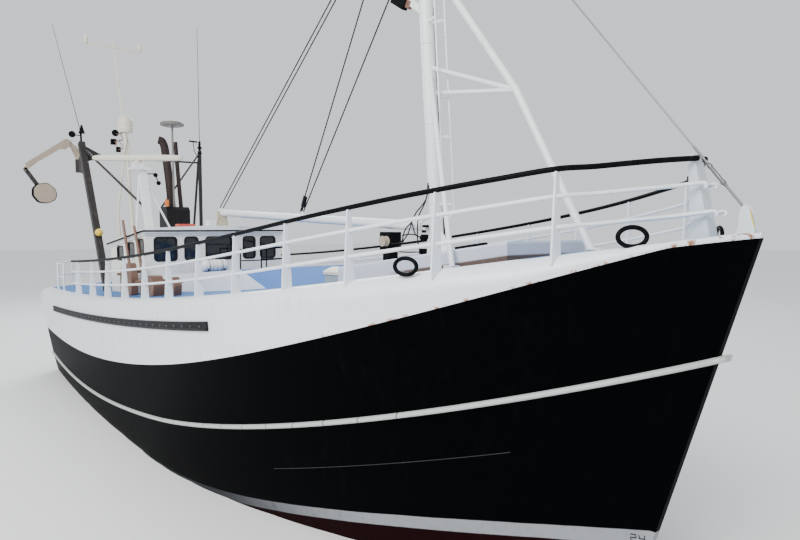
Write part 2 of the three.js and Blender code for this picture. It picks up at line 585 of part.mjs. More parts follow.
const BOOM_Z = 5480;
const GOOSENECK_X = mastX(BOOM_Z) - MAST_RADIUS - 130;
const EYE_HALF = 55;
const LUG = 30;
const gooseneck = [-1, 1].map((side) => side * (EYE_HALF + 2 * SEAT_GAP + LUG / 2)).map((y) => plate([
  [mastX(BOOM_Z) - 100, BOOM_Z - 130], [GOOSENECK_X - 60, BOOM_Z - 60], [GOOSENECK_X - 60, BOOM_Z + 60],
  [mastX(BOOM_Z) - 100, BOOM_Z + 130]], LUG, 'xz').translate(0, y, 0));
// Eyes for the stays: height on the mast, and -1 aft or 1 forward.
const topEyes = [[11500, -1], [12600, -1], [12950, 1]].map(([z, way]) => (
  bar(onMast(z), onMast(z + 40, way * 230), 30, 110)));
// Flared webs stiffen the foot, and a leg runs from the mast to the deck beside the trunk.
const footWebs = [
  plate([
    [mastX(5400) - 120, 5400], [mastX(5400) + 120, 5400], [MAST_FOOT_X + 260, 5220],
    [MAST_FOOT_X + 260, 4800], [MAST_FOOT_X - 260, 4800], [MAST_FOOT_X - 260, 5220],
  ], 30, 'xz'),
  plate([[-120, 5400], [120, 5400], [260, 5220], [260, 4800], [-260, 4800], [-260, 5220]], 30, 'yz')
    .translate(MAST_FOOT_X, 0, 0),
];
const LEG = { foot: [8260, -1265, 4620], head: [6440, -90, 8300], radius: 46 };
const legFoot = block(
  [LEG.foot[0] - 190, LEG.foot[1] - 45, 4600], [LEG.foot[0] - 10, LEG.foot[1] + 135, 4865]);
const mastLeg = rod(LEG.foot, LEG.head, LEG.radius, 10);
const mastBody = join(mastShell(0), lampArm, ...gooseneck, ...topEyes, ...footWebs, mastLeg, legFoot);
add('foremast', cut(mastBody, trunkRaised, deckRaised), white);

const STRUT_FOOT = [9960, 0, 4950];
const STRUT_KNEE = [8410, 0, 7700];
const STRUT_RADIUS = 62;
const BRACE_RADIUS = 40;
const strutHead = onMast(10560, mastRadius(10560) - 60);
const strutTubes = (grow) => join(
  rod(STRUT_FOOT, STRUT_KNEE, STRUT_RADIUS + grow, 8), rod(STRUT_KNEE, strutHead, STRUT_RADIUS + grow, 8),
  ...[8440, 7970].map((z) => rod(onMast(z, MAST_RADIUS - 60), STRUT_KNEE, BRACE_RADIUS + grow, 6)));
const mastGrown = mastShell(SEAT_GAP);
const mastAll = join(mastGrown, rod(LEG.foot, LEG.head, LEG.radius + 2 * SEAT_GAP, 10));
add('mast_strut', onDeck(cut(strutTubes(0), mastAll)), white);

const LADDER_OFFSET = 360;
const LADDER_HALF = 125;
const LADDER_FOOT_Z = 5750;
const LADDER_HEAD_Z = 12300;
const ladderRails = [-1, 1].map((side) => rod(
  onMast(LADDER_FOOT_Z, LADDER_OFFSET, side * LADDER_HALF),
  onMast(LADDER_HEAD_Z, LADDER_OFFSET, side * LADDER_HALF), 20, 6));
const rungs = [];
for (let z = LADDER_FOOT_Z + 200; z < LADDER_HEAD_Z; z += 380) {
  rungs.push(rod(onMast(z, LADDER_OFFSET, -LADDER_HALF), onMast(z, LADDER_OFFSET, LADDER_HALF), 12, 4));
}
const ladderStays = [5900, 7150, 9300, 11900].flatMap((z) => [-1, 1].map((side) => (
  bar(onMast(z, 60, side * 60), onMast(z, LADDER_OFFSET, side * LADDER_HALF), 24, 40))));
// The ladder's foot turns in towards the mast.
const ladderToes = [-1, 1].map((side) => rod(onMast(LADDER_FOOT_Z + 10, LADDER_OFFSET, side * LADDER_HALF),
  onMast(LADDER_FOOT_Z - 110, LADDER_OFFSET - 110, side * (LADDER_HALF - 30)), 20, 6));
const ladder = join(...ladderRails, ...rungs, ...ladderStays, ...ladderToes);
add('mast_ladder', cut(ladder, mastAll, strutTubes(2)), white);

// Cargo boom, hinged at the gooseneck, its end lying in a crutch on the wheelhouse roof.
const BOOM_END_X = -3720;
const BOOM_END_Y = 262;
const BOOM_END_Z = 5935;
const BOOM_RADIUS = 100;
const boomShare = (x) => (GOOSENECK_X - x) / (GOOSENECK_X - BOOM_END_X);
const boomY = (x) => mix(0, BOOM_END_Y, boomShare(x));
const boomZ = (x) => mix(BOOM_Z, BOOM_END_Z, boomShare(x));
const onBoom = (x) => [x, boomY(x), boomZ(x)];
const boomEye = join(
  rod([GOOSENECK_X, -EYE_HALF, BOOM_Z], [GOOSENECK_X, EYE_HALF, BOOM_Z], 50, 10),
  bar(onBoom(GOOSENECK_X), onBoom(GOOSENECK_X - 200), 60, 70));
const liftEyes = [BOOM_END_X + 5190, BOOM_END_X + 150].map((x) => plate([
  [x - 70, boomZ(x)], [x + 70, boomZ(x)], [x + 40, boomZ(x) + 190], [x - 40, boomZ(x) + 190],
], 30, 'xz').translate(0, boomY(x), 0));
const boomTube = rod(onBoom(GOOSENECK_X - 120), onBoom(BOOM_END_X), BOOM_RADIUS, 12);
add('cargo_boom', join(boomEye, boomTube, ...liftEyes), white);

const CRUTCH = { x: -3540, depth: 120, wide: 240, neck: 150, clearance: 9, sides: 8 };
const cradleZ = boomZ(CRUTCH.x);
const cradleRadius = BOOM_RADIUS + CRUTCH.clearance;
const cradle = Array.from({ length: CRUTCH.sides + 1 }, (_, k) => {
  const angle = -Math.PI * k / CRUTCH.sides;
  return [cradleRadius * Math.cos(angle), cradleZ + cradleRadius * Math.sin(angle)];
});
const crutch = plate([
  [-CRUTCH.wide, 5300], [CRUTCH.wide, 5300], [CRUTCH.neck, 5600], [CRUTCH.neck, cradleZ + 60],
  [cradleRadius, cradleZ + 60], ...cradle, [-cradleRadius, cradleZ + 60],
  [-CRUTCH.neck, cradleZ + 60], [-CRUTCH.neck, 5600],
], CRUTCH.depth, 'yz').translate(CRUTCH.x, boomY(CRUTCH.x), 0);
add('boom_crutch', cut(crutch, roofRaised), cream);

// Forestay with its turnbuckle, from the stem plate to the mast head.
const STAY_HEAD = onMast(12990, 190);
const stayDirection = vec(STAY_HEAD).sub(vec(STAY_FOOT)).normalize();
const alongStay = (distance) => vec(STAY_FOOT).addScaledVector(stayDirection, distance).toArray();
const stayLength = vec(STAY_HEAD).distanceTo(vec(STAY_FOOT));
const turnbuckle = rod(alongStay(420), alongStay(820), 32, 8);
const stay = join(rod(alongStay(40), alongStay(stayLength), 12, 6), turnbuckle);
const headEyeGrown = bar(
  onMast(12950), onMast(12990, 230 + SEAT_GAP), 30 + 2 * SEAT_GAP, 110 + 2 * SEAT_GAP);
const stemPlateGrown = plate(stemPlateOutline.map(([x, z]) => {
  const outward = new THREE.Vector2(x - 12005, z - 5400).setLength(2 * SEAT_GAP);
  return [x + outward.x, z + outward.y];
}), 72, 'xz');
add('forestay', cut(stay, headEyeGrown, stemPlateGrown), steel);

// Small deck winch on the trunk, aft of the mast, its warping drum on the starboard side.
const WINCH = { x: 5150, half: 165, low: 5000, top: 5370, drumX: 5240, drumZ: 5185 };
const winchBox = block([WINCH.x - WINCH.half, -150, WINCH.low], [WINCH.x + WINCH.half, 150, WINCH.top]);
const winchPost = block([WINCH.x - 110, -110, 4500], [WINCH.x + 110, 110, WINCH.low + 10]);
const winchFoot = block([WINCH.x - 180, -180, 4500], [WINCH.x + 180, 180, trunkTop(WINCH.x) + 40]);
const winchBoss = rod([WINCH.drumX, -140, WINCH.drumZ], [WINCH.drumX, -175, WINCH.drumZ], 60, 12);
add('winch_frame', cut(join(winchBox, winchPost, winchFoot, winchBoss), trunkRaised), black);
const drumProfile = [
  [0, 0], [105, 0], [105, 15], [72, 30], [62, 60], [72, 90], [108, 105], [108, 120], [0, 120],
];
add('winch_drum', turned(drumProfile, 16).rotateX(Math.PI / 2)
  .translate(WINCH.drumX, -175 - SEAT_GAP, WINCH.drumZ), cream);

// Handrail on the casing, in front of the wheelhouse's port half.
const RAIL_CORNERS = [[-2600, 400], [-2600, 1280], [-1250, 1280], [-1250, 400]];
const casingRailPosts = RAIL_CORNERS.map(([x, y]) => rod([x, y, 3800], [x, y, casingTop(x) + 690], 22, 6));
const casingRailBars = [690, 350].flatMap((height) => [[0, 1], [1, 2], [2, 3]].map(([a, b]) => {
  const [xa, ya] = RAIL_CORNERS[a];
  const [xb, yb] = RAIL_CORNERS[b];
  return rod([xa, ya, casingTop(xa) + height - 20], [xb, yb, casingTop(xb) + height - 20], 18, 6);
}));
add('casing_rail', cut(join(...casingRailPosts, ...casingRailBars), casingRaised), black);

// Funnel casing behind the wheelhouse, two exhaust pipes raked aft, and a disc antenna on its pole.
const FUNNEL = { x0: -7650, x1: -6900, y0: -270, y1: 560, top: 6200 };
const funnelBody = plate([
  [FUNNEL.x0, 3000], [FUNNEL.x1, 3000], [FUNNEL.x1, FUNNEL.top - 120], [FUNNEL.x1 - 120, FUNNEL.top],
  [FUNNEL.x0, FUNNEL.top],
], FUNNEL.y1 - FUNNEL.y0, 'xz').translate(0, (FUNNEL.y0 + FUNNEL.y1) / 2, 0);
add('funnel_casing', onDeck(funnelBody), cream);
const funnelRaised = shifted(funnelBody, 0, 0, SEAT_GAP);
const largePipe = pipe([[-7270, 50, 6000], [-7350, 10, 7000], [-7450, -60, 8000], [-7470, -110, 8430],
  [-7510, -200, 8590], [-7560, -330, 8600]], 140, 16, 12);
const smallPipe = pipe([[-7290, 400, 6000], [-7400, 340, 7400], [-7500, 310, 8540]], 72, 8, 8);
add('exhaust_pipe_large', cut(largePipe, funnelRaised), steel);
add('exhaust_pipe_small', cut(smallPipe, funnelRaised), steel);
const DISC = { x: -7040, y: 40, z: 9098 };
const discPole = rod([DISC.x, DISC.y, 6000], [DISC.x, DISC.y, DISC.z - 60], 35, 8);
const discProfile = [[0, -110], [140, -110], [400, -50], [410, 20], [330, 90], [0, 120]];
const disc = turned(discProfile, 20).translate(DISC.x, DISC.y, DISC.z);
add('disc_antenna', cut(join(discPole, disc), funnelRaised), white);

// Radar mast on the roof: a square column with braced legs, and the scanner's gearbox on top.
const RADAR = { x: -5400, y: -1680, shelf: 7350, top: 7490, half: 150 };
const RADAR_FOOT = [RADAR.x, -1320, 4900];
const RADAR_HEAD = [RADAR.x, -1570, RADAR.shelf + 20];
const radarColumn = (grow) => bar(RADAR_FOOT, RADAR_HEAD, 220 + 2 * grow, 220 + 2 * grow);
const gearbox = block([RADAR.x - RADAR.half, RADAR.y - RADAR.half, RADAR.shelf],
  [RADAR.x + RADAR.half, RADAR.y + RADAR.half, RADAR.top]);
const radarLegs = [[-5400, -430, -1540], [-5900, -900, -1540], [-6100, -1600, -1650]]
  .map(([x, y, headY]) => rod([x, y, 4900], [RADAR.x, headY, 7080], 32, 6));
const radarShelf = block(
  [RADAR.x - 230, RADAR.y - 230, RADAR.shelf - 60], [RADAR.x + 230, RADAR.y + 330, RADAR.shelf]);
const radarMast = join(radarColumn(0), radarShelf, gearbox, ...radarLegs);
add('radar_mast', cut(radarMast, roofRaised), white);
const SCANNER_TURN = 0.88;
const SCANNER_Z = 7655;
const scannerHub = rod([0, 0, RADAR.top + SEAT_GAP], [0, 0, SCANNER_Z - 40], 130, 12);
const scannerBar = plate([
  [-1300, -95], [1300, -95], [1400, -45], [1400, 80], [1340, 95], [-1340, 95], [-1400, 80], [-1400, -45],
], 230, 'xz').translate(0, 0, SCANNER_Z);
const scanner = join(scannerHub, scannerBar).rotateZ(SCANNER_TURN).translate(RADAR.x, RADAR.y, 0);
add('radar_scanner', scanner, white);

// Antenna mast from the deck, with a dome and a crosstree of sensors.
const ANTENNA = { foot: [-7070, -1230, 3000], knee: [-7670, -1380, 8800], head: [-8040, -1570, 11860] };
const CROSS_Z = 11600;
const crossAt = (side) => [-8015, -1560 + side * 870, CROSS_Z + 60];
const antennaPieces = [
  rod(ANTENNA.foot, ANTENNA.knee, 62, 8),
  rod([-7740, -1410, 9250], ANTENNA.head, 30, 6),
  rod([-7700, -1345, 8740], [-7705, -1345, 8900], 225, 14),
  rod([-7350, -1560, 3000], [-7400, -1760, 5900], 45, 8),
  rod([-7400, -1760, 5880], [-7560, -1400, 8350], 38, 8),
  rod([-7560, -1000, 7500], [-7690, -1340, 8700], 32, 8),
  rod([-7560, -1005, 7520], [-7520, -1350, 7350], 32, 8),
  bar(crossAt(-1), crossAt(1), 50, 50),
  ...[-1, 1].map((side) => rod(crossAt(side), [...crossAt(side).slice(0, 2), CROSS_Z + 330], 70, 8)),
];
const dome = new THREE.SphereGeometry(260, 16, 8).rotateX(Math.PI / 2).scale(1, 1, 1.2)
  .translate(-7705, -1340, 9045);
add('antenna_mast', onDeck(join(...antennaPieces, dome)), white);

// Stern gantry: a raked starboard leg, an upright port post with its thin leg, a crossbeam and two braces.
const HEAD = { x: -10600, y: -2170, z: 8000, radius: 130 };
const RAKED_FOOT = [-7060, -2210, 3000];
const RAKED_HEAD = [-10150, -2175, 8570];
const RAKED_SIZE = 210;
const onRaked = (z) => {
  const share = (z - RAKED_FOOT[2]) / (RAKED_HEAD[2] - RAKED_FOOT[2]);
  return RAKED_FOOT.map((value, k) => mix(value, RAKED_HEAD[k], share));
};
const PORT_POST = { x: -10150, y: 2300, top: 8650, fitting: 9020, whip: 13600 };
const BEAM_Z = 8080;
const gantryPieces = [
  bar(RAKED_FOOT, RAKED_HEAD, RAKED_SIZE, RAKED_SIZE),
  rod([HEAD.x, HEAD.y, HEAD.z - 480], [HEAD.x, HEAD.y, HEAD.z], HEAD.radius, 12),
  plate([
    [HEAD.x, HEAD.z - 440], [HEAD.x, HEAD.z - 120], [onRaked(8250)[0], 8250], [onRaked(7350)[0], 7350],
  ], 120, 'xz').translate(0, HEAD.y, 0),
  plate([[-2200, 8480], [-1480, BEAM_Z + 30], [-1480, BEAM_Z - 30], [-2200, 7850]], 36, 'yz')
    .translate(onRaked(BEAM_Z)[0], 0, 0),
  rod([PORT_POST.x, PORT_POST.y, 3000], [PORT_POST.x, PORT_POST.y, PORT_POST.top], 72, 8),
  rod([PORT_POST.x, PORT_POST.y, PORT_POST.top - 60], [PORT_POST.x, PORT_POST.y, PORT_POST.fitting], 50, 8),
  rod([PORT_POST.x, PORT_POST.y, PORT_POST.fitting - 50], [PORT_POST.x, PORT_POST.y, PORT_POST.whip], 14, 6),
  rod([-11200, 2180, 3000], [-10180, 2260, 8300], 48, 6),
  rod(onRaked(BEAM_Z), [PORT_POST.x, PORT_POST.y, BEAM_Z + 60], 38, 8),
];
const longBrace = rod([-10150, -2170, 8450], [RADAR.x, -1490, 6100], 45, 8);
const shortBrace = rod([-10160, 2280, 8520], [-7600, -240, 6150], 35, 8);
const gantry = join(...gantryPieces, longBrace, shortBrace);
add('stern_gantry', cut(gantry, deckRaised, funnelRaised, radarColumn(SEAT_GAP)), cream);

// Net crane on the gantry's starboard head: a turning column, a bent jib, a hanging arm and the power block.
const CRANE_X = HEAD.x;
const JIB_PIN = [CRANE_X, -2330, 8420];
const ARM_PIN = [CRANE_X, -3930, 7550];
const BLOCK_PIN = [CRANE_X, -3385, 6710];
const EYE = 60;
const EAR = 26;
const earOffset = EYE + SEAT_GAP + EAR / 2;
const columnTurn = rod([CRANE_X, HEAD.y, HEAD.z + SEAT_GAP], [CRANE_X, HEAD.y, HEAD.z + 200], 115, 12);
const columnEars = [-1, 1].map((side) => plate([
  [HEAD.y + 90, HEAD.z + 70], [HEAD.y + 90, HEAD.z + 200], [JIB_PIN[1] + 60, JIB_PIN[2] + 70],
  [JIB_PIN[1] - 60, JIB_PIN[2] + 60], [JIB_PIN[1] - 80, JIB_PIN[2] - 50], [HEAD.y - 100, HEAD.z + 70],
], EAR, 'yz').translate(CRANE_X + side * earOffset, 0, 0));
add('crane_column', join(columnTurn, ...columnEars), cream);

const eyeAt = ([x, y, z], radius) => rod([x - EYE, y, z], [x + EYE, y, z], radius, 12);
const JIB_BREADTH = 190;
const jibHeel = plate([
  [JIB_PIN[1] + 45, JIB_PIN[2] - 45], [JIB_PIN[1] + 45, JIB_PIN[2] + 45], [-2470, 8680], [-2640, 8600],
  [JIB_PIN[1] - 45, JIB_PIN[2] - 45],
], 2 * EYE, 'yz').translate(CRANE_X, 0, 0);
const jibBeam = plate([
  [-2470, 8470], [-2470, 8680], [-2610, 8725], [-3935, 7750], [-3775, 7650], [-2760, 8370], [-2620, 8340],
], JIB_BREADTH, 'yz').translate(CRANE_X, 0, 0);
const jibEars = [-1, 1].map((side) => plate([
  [-3560, 7985], [ARM_PIN[1] - 20, ARM_PIN[2] + 80], [ARM_PIN[1] - 80, ARM_PIN[2]],
  [ARM_PIN[1], ARM_PIN[2] - 80], [-3480, 7880],
], EAR, 'yz').translate(CRANE_X + side * earOffset, 0, 0));
add('crane_jib', join(eyeAt(JIB_PIN, 62), jibHeel, jibBeam, ...jibEars), cream);
const armBeam = bar(ARM_PIN, BLOCK_PIN, 100, 130);
add('block_arm', join(eyeAt(ARM_PIN, 60), armBeam, eyeAt(BLOCK_PIN, 130)), rusty);
const BLOCK_WIDTH = 300;
const blockProfile = [[0, 0], [180, 0], [330, 20], [430, 60], [435, 90], [290, 150], [435, 210], [430, 240],
  [330, 285], [200, BLOCK_WIDTH], [0, BLOCK_WIDTH]];
add('power_block', turned(blockProfile, 18).rotateY(Math.PI / 2)
  .translate(CRANE_X + EYE + SEAT_GAP, BLOCK_PIN[1], BLOCK_PIN[2]), cream);

// Net drum on two stands, aft of the wheelhouse.
const NET = { x: -9150, z: 4050, half: 1150, core: 190, flange: 560 };
const netProfile = [
  [0, -NET.half], [NET.flange, -NET.half], [NET.flange, -NET.half + 30], [NET.core, -NET.half + 60],
  [NET.core, NET.half - 60], [NET.flange, NET.half - 30], [NET.flange, NET.half], [0, NET.half],
];
add('net_drum', turned(netProfile, 20).rotateX(Math.PI / 2).translate(NET.x, 0, NET.z), rusty);
for (const [side, name] of [[1, 'port'], [-1, 'starboard']]) {
  const inner = side * (NET.half + SEAT_GAP);
  const outer = side * (NET.half + 160);
  const stand = plate([
    [NET.x - 520, 3000], [NET.x + 520, 3000], [NET.x + 150, NET.z + 150], [NET.x - 150, NET.z + 150],
  ], 159, 'xz').translate(0, (inner + outer) / 2, 0);
  add(`net_drum_stand_${name}`, onDeck(stand), rusty);
}

// Propeller on the shaft boss, and the rudder between the trunk above and the sole piece below.
const BLADES = 4;
const HUB_FORE = PROPELLER_X + 350 - SEAT_GAP;
const hubProfile = [[0, 0], [90, 30], [150, 150], [185, 340], [188, PROPELLER_HUB], [0, PROPELLER_HUB]];
const hub = turned(hubProfile, 20).rotateY(Math.PI / 2).translate(HUB_FORE - PROPELLER_HUB, 0, SHAFT_Z);
const bladeOutline = new THREE.Shape();
bladeOutline.moveTo(-120, 110);
bladeOutline.bezierCurveTo(-330, 330, -350, 640, -60, 780);
bladeOutline.bezierCurveTo(220, 720, 300, 400, 120, 110);
const blade = new THREE.ExtrudeGeometry(bladeOutline, { depth: 36, bevelEnabled: false, curveSegments: 10 })
  .translate(0, 0, -18).rotateY(0.62);
const blades = Array.from({ length: BLADES }, (_, k) => blade.clone()
  .rotateX(Math.PI / 2).rotateX((2 * Math.PI * k) / BLADES + 0.4).translate(PROPELLER_X + 60, 0, SHAFT_Z));
add('propeller', join(hub, ...blades), bronze);

const RUDDER = { fore: -10750, aft: -11850, low: -3180, top: -980, half: 90 };
const solePlane = (x) => mix(-3120, -3260, (-9780 - x) / 1620);
const rudderBlade = plate([
  [RUDDER.fore, solePlane(RUDDER.fore) + 90], [RUDDER.fore, RUDDER.top - 150], [-10950, RUDDER.top],
  [RUDDER.aft + 120, RUDDER.top], [RUDDER.aft, RUDDER.top - 200], [RUDDER.aft + 60, solePlane(-11400) + 90],
  [-11400, solePlane(-11400) + 90],
], 2 * RUDDER.half, 'xz');
const stock = rod([RUDDER_X, 0, TRUNK_BOTTOM - SEAT_GAP], [RUDDER_X, 0, -1500], 90, 14);
const pintle = rod([RUDDER_X, 0, solePlane(RUDDER_X + 70) + 2 * SEAT_GAP], [RUDDER_X, 0, -2900], 70, 12);
add('rudder', join(rudderBlade, stock, pintle), rusty);

export default trawler;
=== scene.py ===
# %% [markdown]
# # A fishing trawler, dressed in Blender
# The hull, deckhouse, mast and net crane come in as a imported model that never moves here. Around that frame
# this lesson makes the finer skins, the paint with its rust and salt, the glass, and the rigging. Everything
# is in metres: +X runs to the bow, +Y to port, +Z up, and Z = 0 is the waterline.

import math

import bpy
import numpy as np
from mathutils import Matrix, Vector


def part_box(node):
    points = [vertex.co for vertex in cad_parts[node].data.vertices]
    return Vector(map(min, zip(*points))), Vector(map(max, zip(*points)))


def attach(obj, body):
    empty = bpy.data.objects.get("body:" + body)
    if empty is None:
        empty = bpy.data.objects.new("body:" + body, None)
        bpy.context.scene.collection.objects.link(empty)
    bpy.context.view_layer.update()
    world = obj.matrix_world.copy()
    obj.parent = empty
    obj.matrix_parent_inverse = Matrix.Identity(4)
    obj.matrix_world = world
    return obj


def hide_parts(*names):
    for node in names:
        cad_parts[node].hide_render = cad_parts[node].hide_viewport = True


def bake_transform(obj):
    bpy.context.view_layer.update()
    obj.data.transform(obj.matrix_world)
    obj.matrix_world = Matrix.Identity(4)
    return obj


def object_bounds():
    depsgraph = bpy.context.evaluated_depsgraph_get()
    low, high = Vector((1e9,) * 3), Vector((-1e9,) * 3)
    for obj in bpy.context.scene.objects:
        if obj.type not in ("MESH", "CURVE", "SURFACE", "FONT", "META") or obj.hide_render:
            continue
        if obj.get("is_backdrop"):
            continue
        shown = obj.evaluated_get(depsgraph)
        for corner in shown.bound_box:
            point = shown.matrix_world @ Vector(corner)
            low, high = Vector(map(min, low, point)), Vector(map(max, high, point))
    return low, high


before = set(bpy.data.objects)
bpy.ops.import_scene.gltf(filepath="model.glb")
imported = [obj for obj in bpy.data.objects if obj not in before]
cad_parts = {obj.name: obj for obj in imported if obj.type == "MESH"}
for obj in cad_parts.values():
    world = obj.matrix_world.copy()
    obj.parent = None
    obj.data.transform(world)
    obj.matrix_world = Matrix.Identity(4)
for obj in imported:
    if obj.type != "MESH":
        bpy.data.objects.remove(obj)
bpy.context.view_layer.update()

# %% [markdown]
# ## The camera
# The boat is seen from just off the starboard bow, a little above the rail, through a wide lens. A camera
# could be aimed at an empty, but a place and two angles say the same and can be measured. The heading is how
# far the view turns from astern towards port, the dip is how far it looks down.

# %% Camera
CAMERA_PLACE = Vector((15.1, -8.12, 5.45))
CAMERA_HEADING = math.radians(40.1)
CAMERA_DIP = math.radians(3.86)
LENS_MM = 28.0
SENSOR_MM = 36
SIGHT_LIMIT = 400

ahead = Vector((
    -math.cos(CAMERA_HEADING) * math.cos(CAMERA_DIP),
    math.sin(CAMERA_HEADING) * math.cos(CAMERA_DIP),
    -math.sin(CAMERA_DIP),
))
right = Vector((math.sin(CAMERA_HEADING), math.cos(CAMERA_HEADING), 0))
camera_data = bpy.data.cameras.new("camera")
camera_data.lens = LENS_MM
camera_data.sensor_width = SENSOR_MM
camera_data.clip_end = SIGHT_LIMIT
camera = bpy.data.objects.new("camera", camera_data)
bpy.context.scene.collection.objects.link(camera)
turn = Matrix((right, right.cross(ahead), -ahead)).transposed()
camera.matrix_world = Matrix.Translation(CAMERA_PLACE) @ turn.to_4x4()
bpy.context.scene.camera = camera
print("camera at", tuple(CAMERA_PLACE))

# %% [markdown]
# ## Floor and light
# A studio floor stands at the waterline, so the boat shows what it shows afloat. A sun lamp would draw hard
# shadows, and the boat's are faint, so soft light comes from a pale sky all round, one very large lamp high
# over the starboard bow and a weaker one over the port quarter.


# %% Floor, sky and lamps
def flat_material(name, colour, roughness):
    """One even colour with one roughness."""
    made = bpy.data.materials.new(name)
    made.use_nodes = True
    shader = made.node_tree.nodes["Principled BSDF"]
    shader.inputs["Base Color"].default_value = (*colour, 1)
    shader.inputs["Roughness"].default_value = roughness
    return made


FLOOR_HALF = 160.0
FLOOR_GREY = (0.86, 0.865, 0.87)
SKY_COLOUR = (0.94, 0.965, 1.0, 1)
floor_mesh = bpy.data.meshes.new("floor")
floor_corners = FLOOR_HALF * np.array([(-1, -1, 0), (1, -1, 0), (1, 1, 0), (-1, 1, 0)], float)
floor_mesh.from_pydata(floor_corners.tolist(), [], [(0, 1, 2, 3)])
floor_mesh.materials.append(flat_material("studio_floor", FLOOR_GREY, 0.7))
floor = bpy.data.objects.new("floor", floor_mesh)
bpy.context.scene.collection.objects.link(floor)
floor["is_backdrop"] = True

world = bpy.data.worlds.new("studio_sky")
bpy.context.scene.world = world
world.use_nodes = True
world.node_tree.nodes["Background"].inputs["Color"].default_value = SKY_COLOUR
world.node_tree.nodes["Background"].inputs["Strength"].default_value = 1.0


def area_lamp(name, place, target, size, watts, colour):
    """A rectangular lamp of (width, height) that stands at a place and looks at a target."""
    data = bpy.data.lights.new(name, "AREA")
    data.shape = "RECTANGLE"
    data.size, data.size_y = size
    data.energy = watts
    data.color = colour
    lamp = bpy.data.objects.new(name, data)
    lamp.location = place
    lamp.rotation_euler = (Vector(target) - Vector(place)).to_track_quat("-Z", "Y").to_euler()
    bpy.context.scene.collection.objects.link(lamp)


area_lamp("key", place=(14, -26, 24), target=(0, 0, 3), size=(22, 16), watts=15000,
          colour=(1.0, 0.985, 0.96))
area_lamp("fill", place=(-26, 14, 20), target=(-2, 0, 3), size=(20, 14), watts=6000,
          colour=(0.94, 0.97, 1.0))
print("floor, sky and two lamps are in place")

# %% [markdown]
# ## Making surfaces from arrays
# A ship is mostly sheets and pipes, so every new piece here is a grid of points worked out with numpy: one
# direction runs along the piece and the other round it. Primitive shapes could be pushed and scaled by hand,
# but a formula keeps the curves fair and says where each point comes from.


# %% Grids of points
def grid_shell(points, wrap_rows=False, wrap_columns=False):
    """Quads over a grid of (rows, columns, 3). A wrapped direction joins its last line to its first."""
    rows, columns = points.shape[:2]
    index = np.arange(rows * columns).reshape(rows, columns)
    if wrap_rows:
        index = np.vstack([index, index[:1]])
    if wrap_columns:
        index = np.hstack([index, index[:, :1]])
    quads = np.stack([index[:-1, :-1], index[1:, :-1], index[1:, 1:], index[:-1, 1:]], axis=-1)
    return points.reshape(-1, 3), quads.reshape(-1, 4).tolist()


def capped(points):
    """A grid whose rows close on themselves, with a flat face over its first and its last row."""
    count = points.shape[1]
    corners, faces = grid_shell(points, wrap_columns=True)
    return corners, faces + [list(range(count)), list(range(len(corners) - count, len(corners)))]


print("grid_shell and capped turn a grid of points into faces")

# %% [markdown]
# ## Round pieces
# Pipes, rails and wires are circles carried along a path, and domes are a profile spun round an axis.
# Blender's curve bevel and Screw modifier do the same. As plain sums they need no applying, and their ends
# are closed.


# %% Tubes and turned pieces
def frames_along(path):
    """Unit tangent, side and lift at each point of a path. The side is the tangent crossed with the world
    axis that the path follows least."""
    tangent = np.gradient(path, axis=0)
    tangent /= np.linalg.norm(tangent, axis=1, keepdims=True)
    least = np.eye(3)[np.argmin(np.abs(tangent).max(axis=0))]
    side = np.cross(tangent, least)
    side /= np.linalg.norm(side, axis=1, keepdims=True)
    return tangent, side, np.cross(side, tangent)


def circles(side, lift, sides):
    """A unit circle for each pair of directions: cos a side + sin a lift."""
    angle = np.linspace(0, 2 * math.pi, sides, endpoint=False)
    return np.cos(angle)[None, :, None] * side[:, None] + np.sin(angle)[None, :, None] * lift[:, None]


def tube(path, radius, sides=14):
    """A round bar: point = path + radius (cos a side + sin a lift). Both ends are closed by flat faces."""
    path = np.asarray(path, float)
    _, side, lift = frames_along(path)
    radii = np.broadcast_to(np.asarray(radius, float), len(path))[:, None, None]
    return capped(path[:, None] + radii * circles(side, lift, sides))


def rod(start, end, radius, sides=14, end_radius=None):
    """A straight round bar, tapered where an end radius is given."""
    radii = [radius, radius if end_radius is None else end_radius]
    return tube([start, end], np.array(radii), sides)


def revolve(profile, at, axis=(0, 0, 1), sides=28):
    """A turned piece: point = at + height axis + radius (cos a across + sin a over)."""
    profile = np.asarray(profile, float)
    along = np.array(axis, float) / np.linalg.norm(axis)
    least = np.eye(3)[np.argmin(np.abs(along))]
    across = np.cross(along, least)
    across /= np.linalg.norm(across)
    ring = circles(across[None], np.cross(along, across)[None], sides)
    points = np.array(at, float) + profile[:, 1, None, None] * along + profile[:, 0, None, None] * ring
    return grid_shell(points, wrap_columns=True)


print("makers of round pieces: tube, rod, revolve")

# %% [markdown]
# ## Flat-sided pieces
# Plates, brackets and frames are outlines cut from sheet steel. Blender's Extrude would draw one outline out
# by hand. Here two copies of the outline, set apart along an axis, make the same piece and can be measured.


# %% Plates, bars and frames
PLANES = {"x": (1, 2, 0), "y": (0, 2, 1), "z": (0, 1, 2)}


def prism(outline, axis, low, high):
    """An outline of (a, b) pairs in the plane square to an axis, drawn out along it from low to high."""
    outline = np.asarray(outline, float)
    points = np.zeros((2, len(outline), 3))
    first, second, third = PLANES[axis]
    points[..., first] = outline[:, 0]
    points[..., second] = outline[:, 1]
    points[0, :, third] = low
    points[1, :, third] = high
    return capped(points)


def block(low, high):
    """A box between two corners."""
    (x0, y0, z0), (x1, y1, z1) = low, high
    return prism([(x0, y0), (x1, y0), (x1, y1), (x0, y1)], "z", z0, z1)


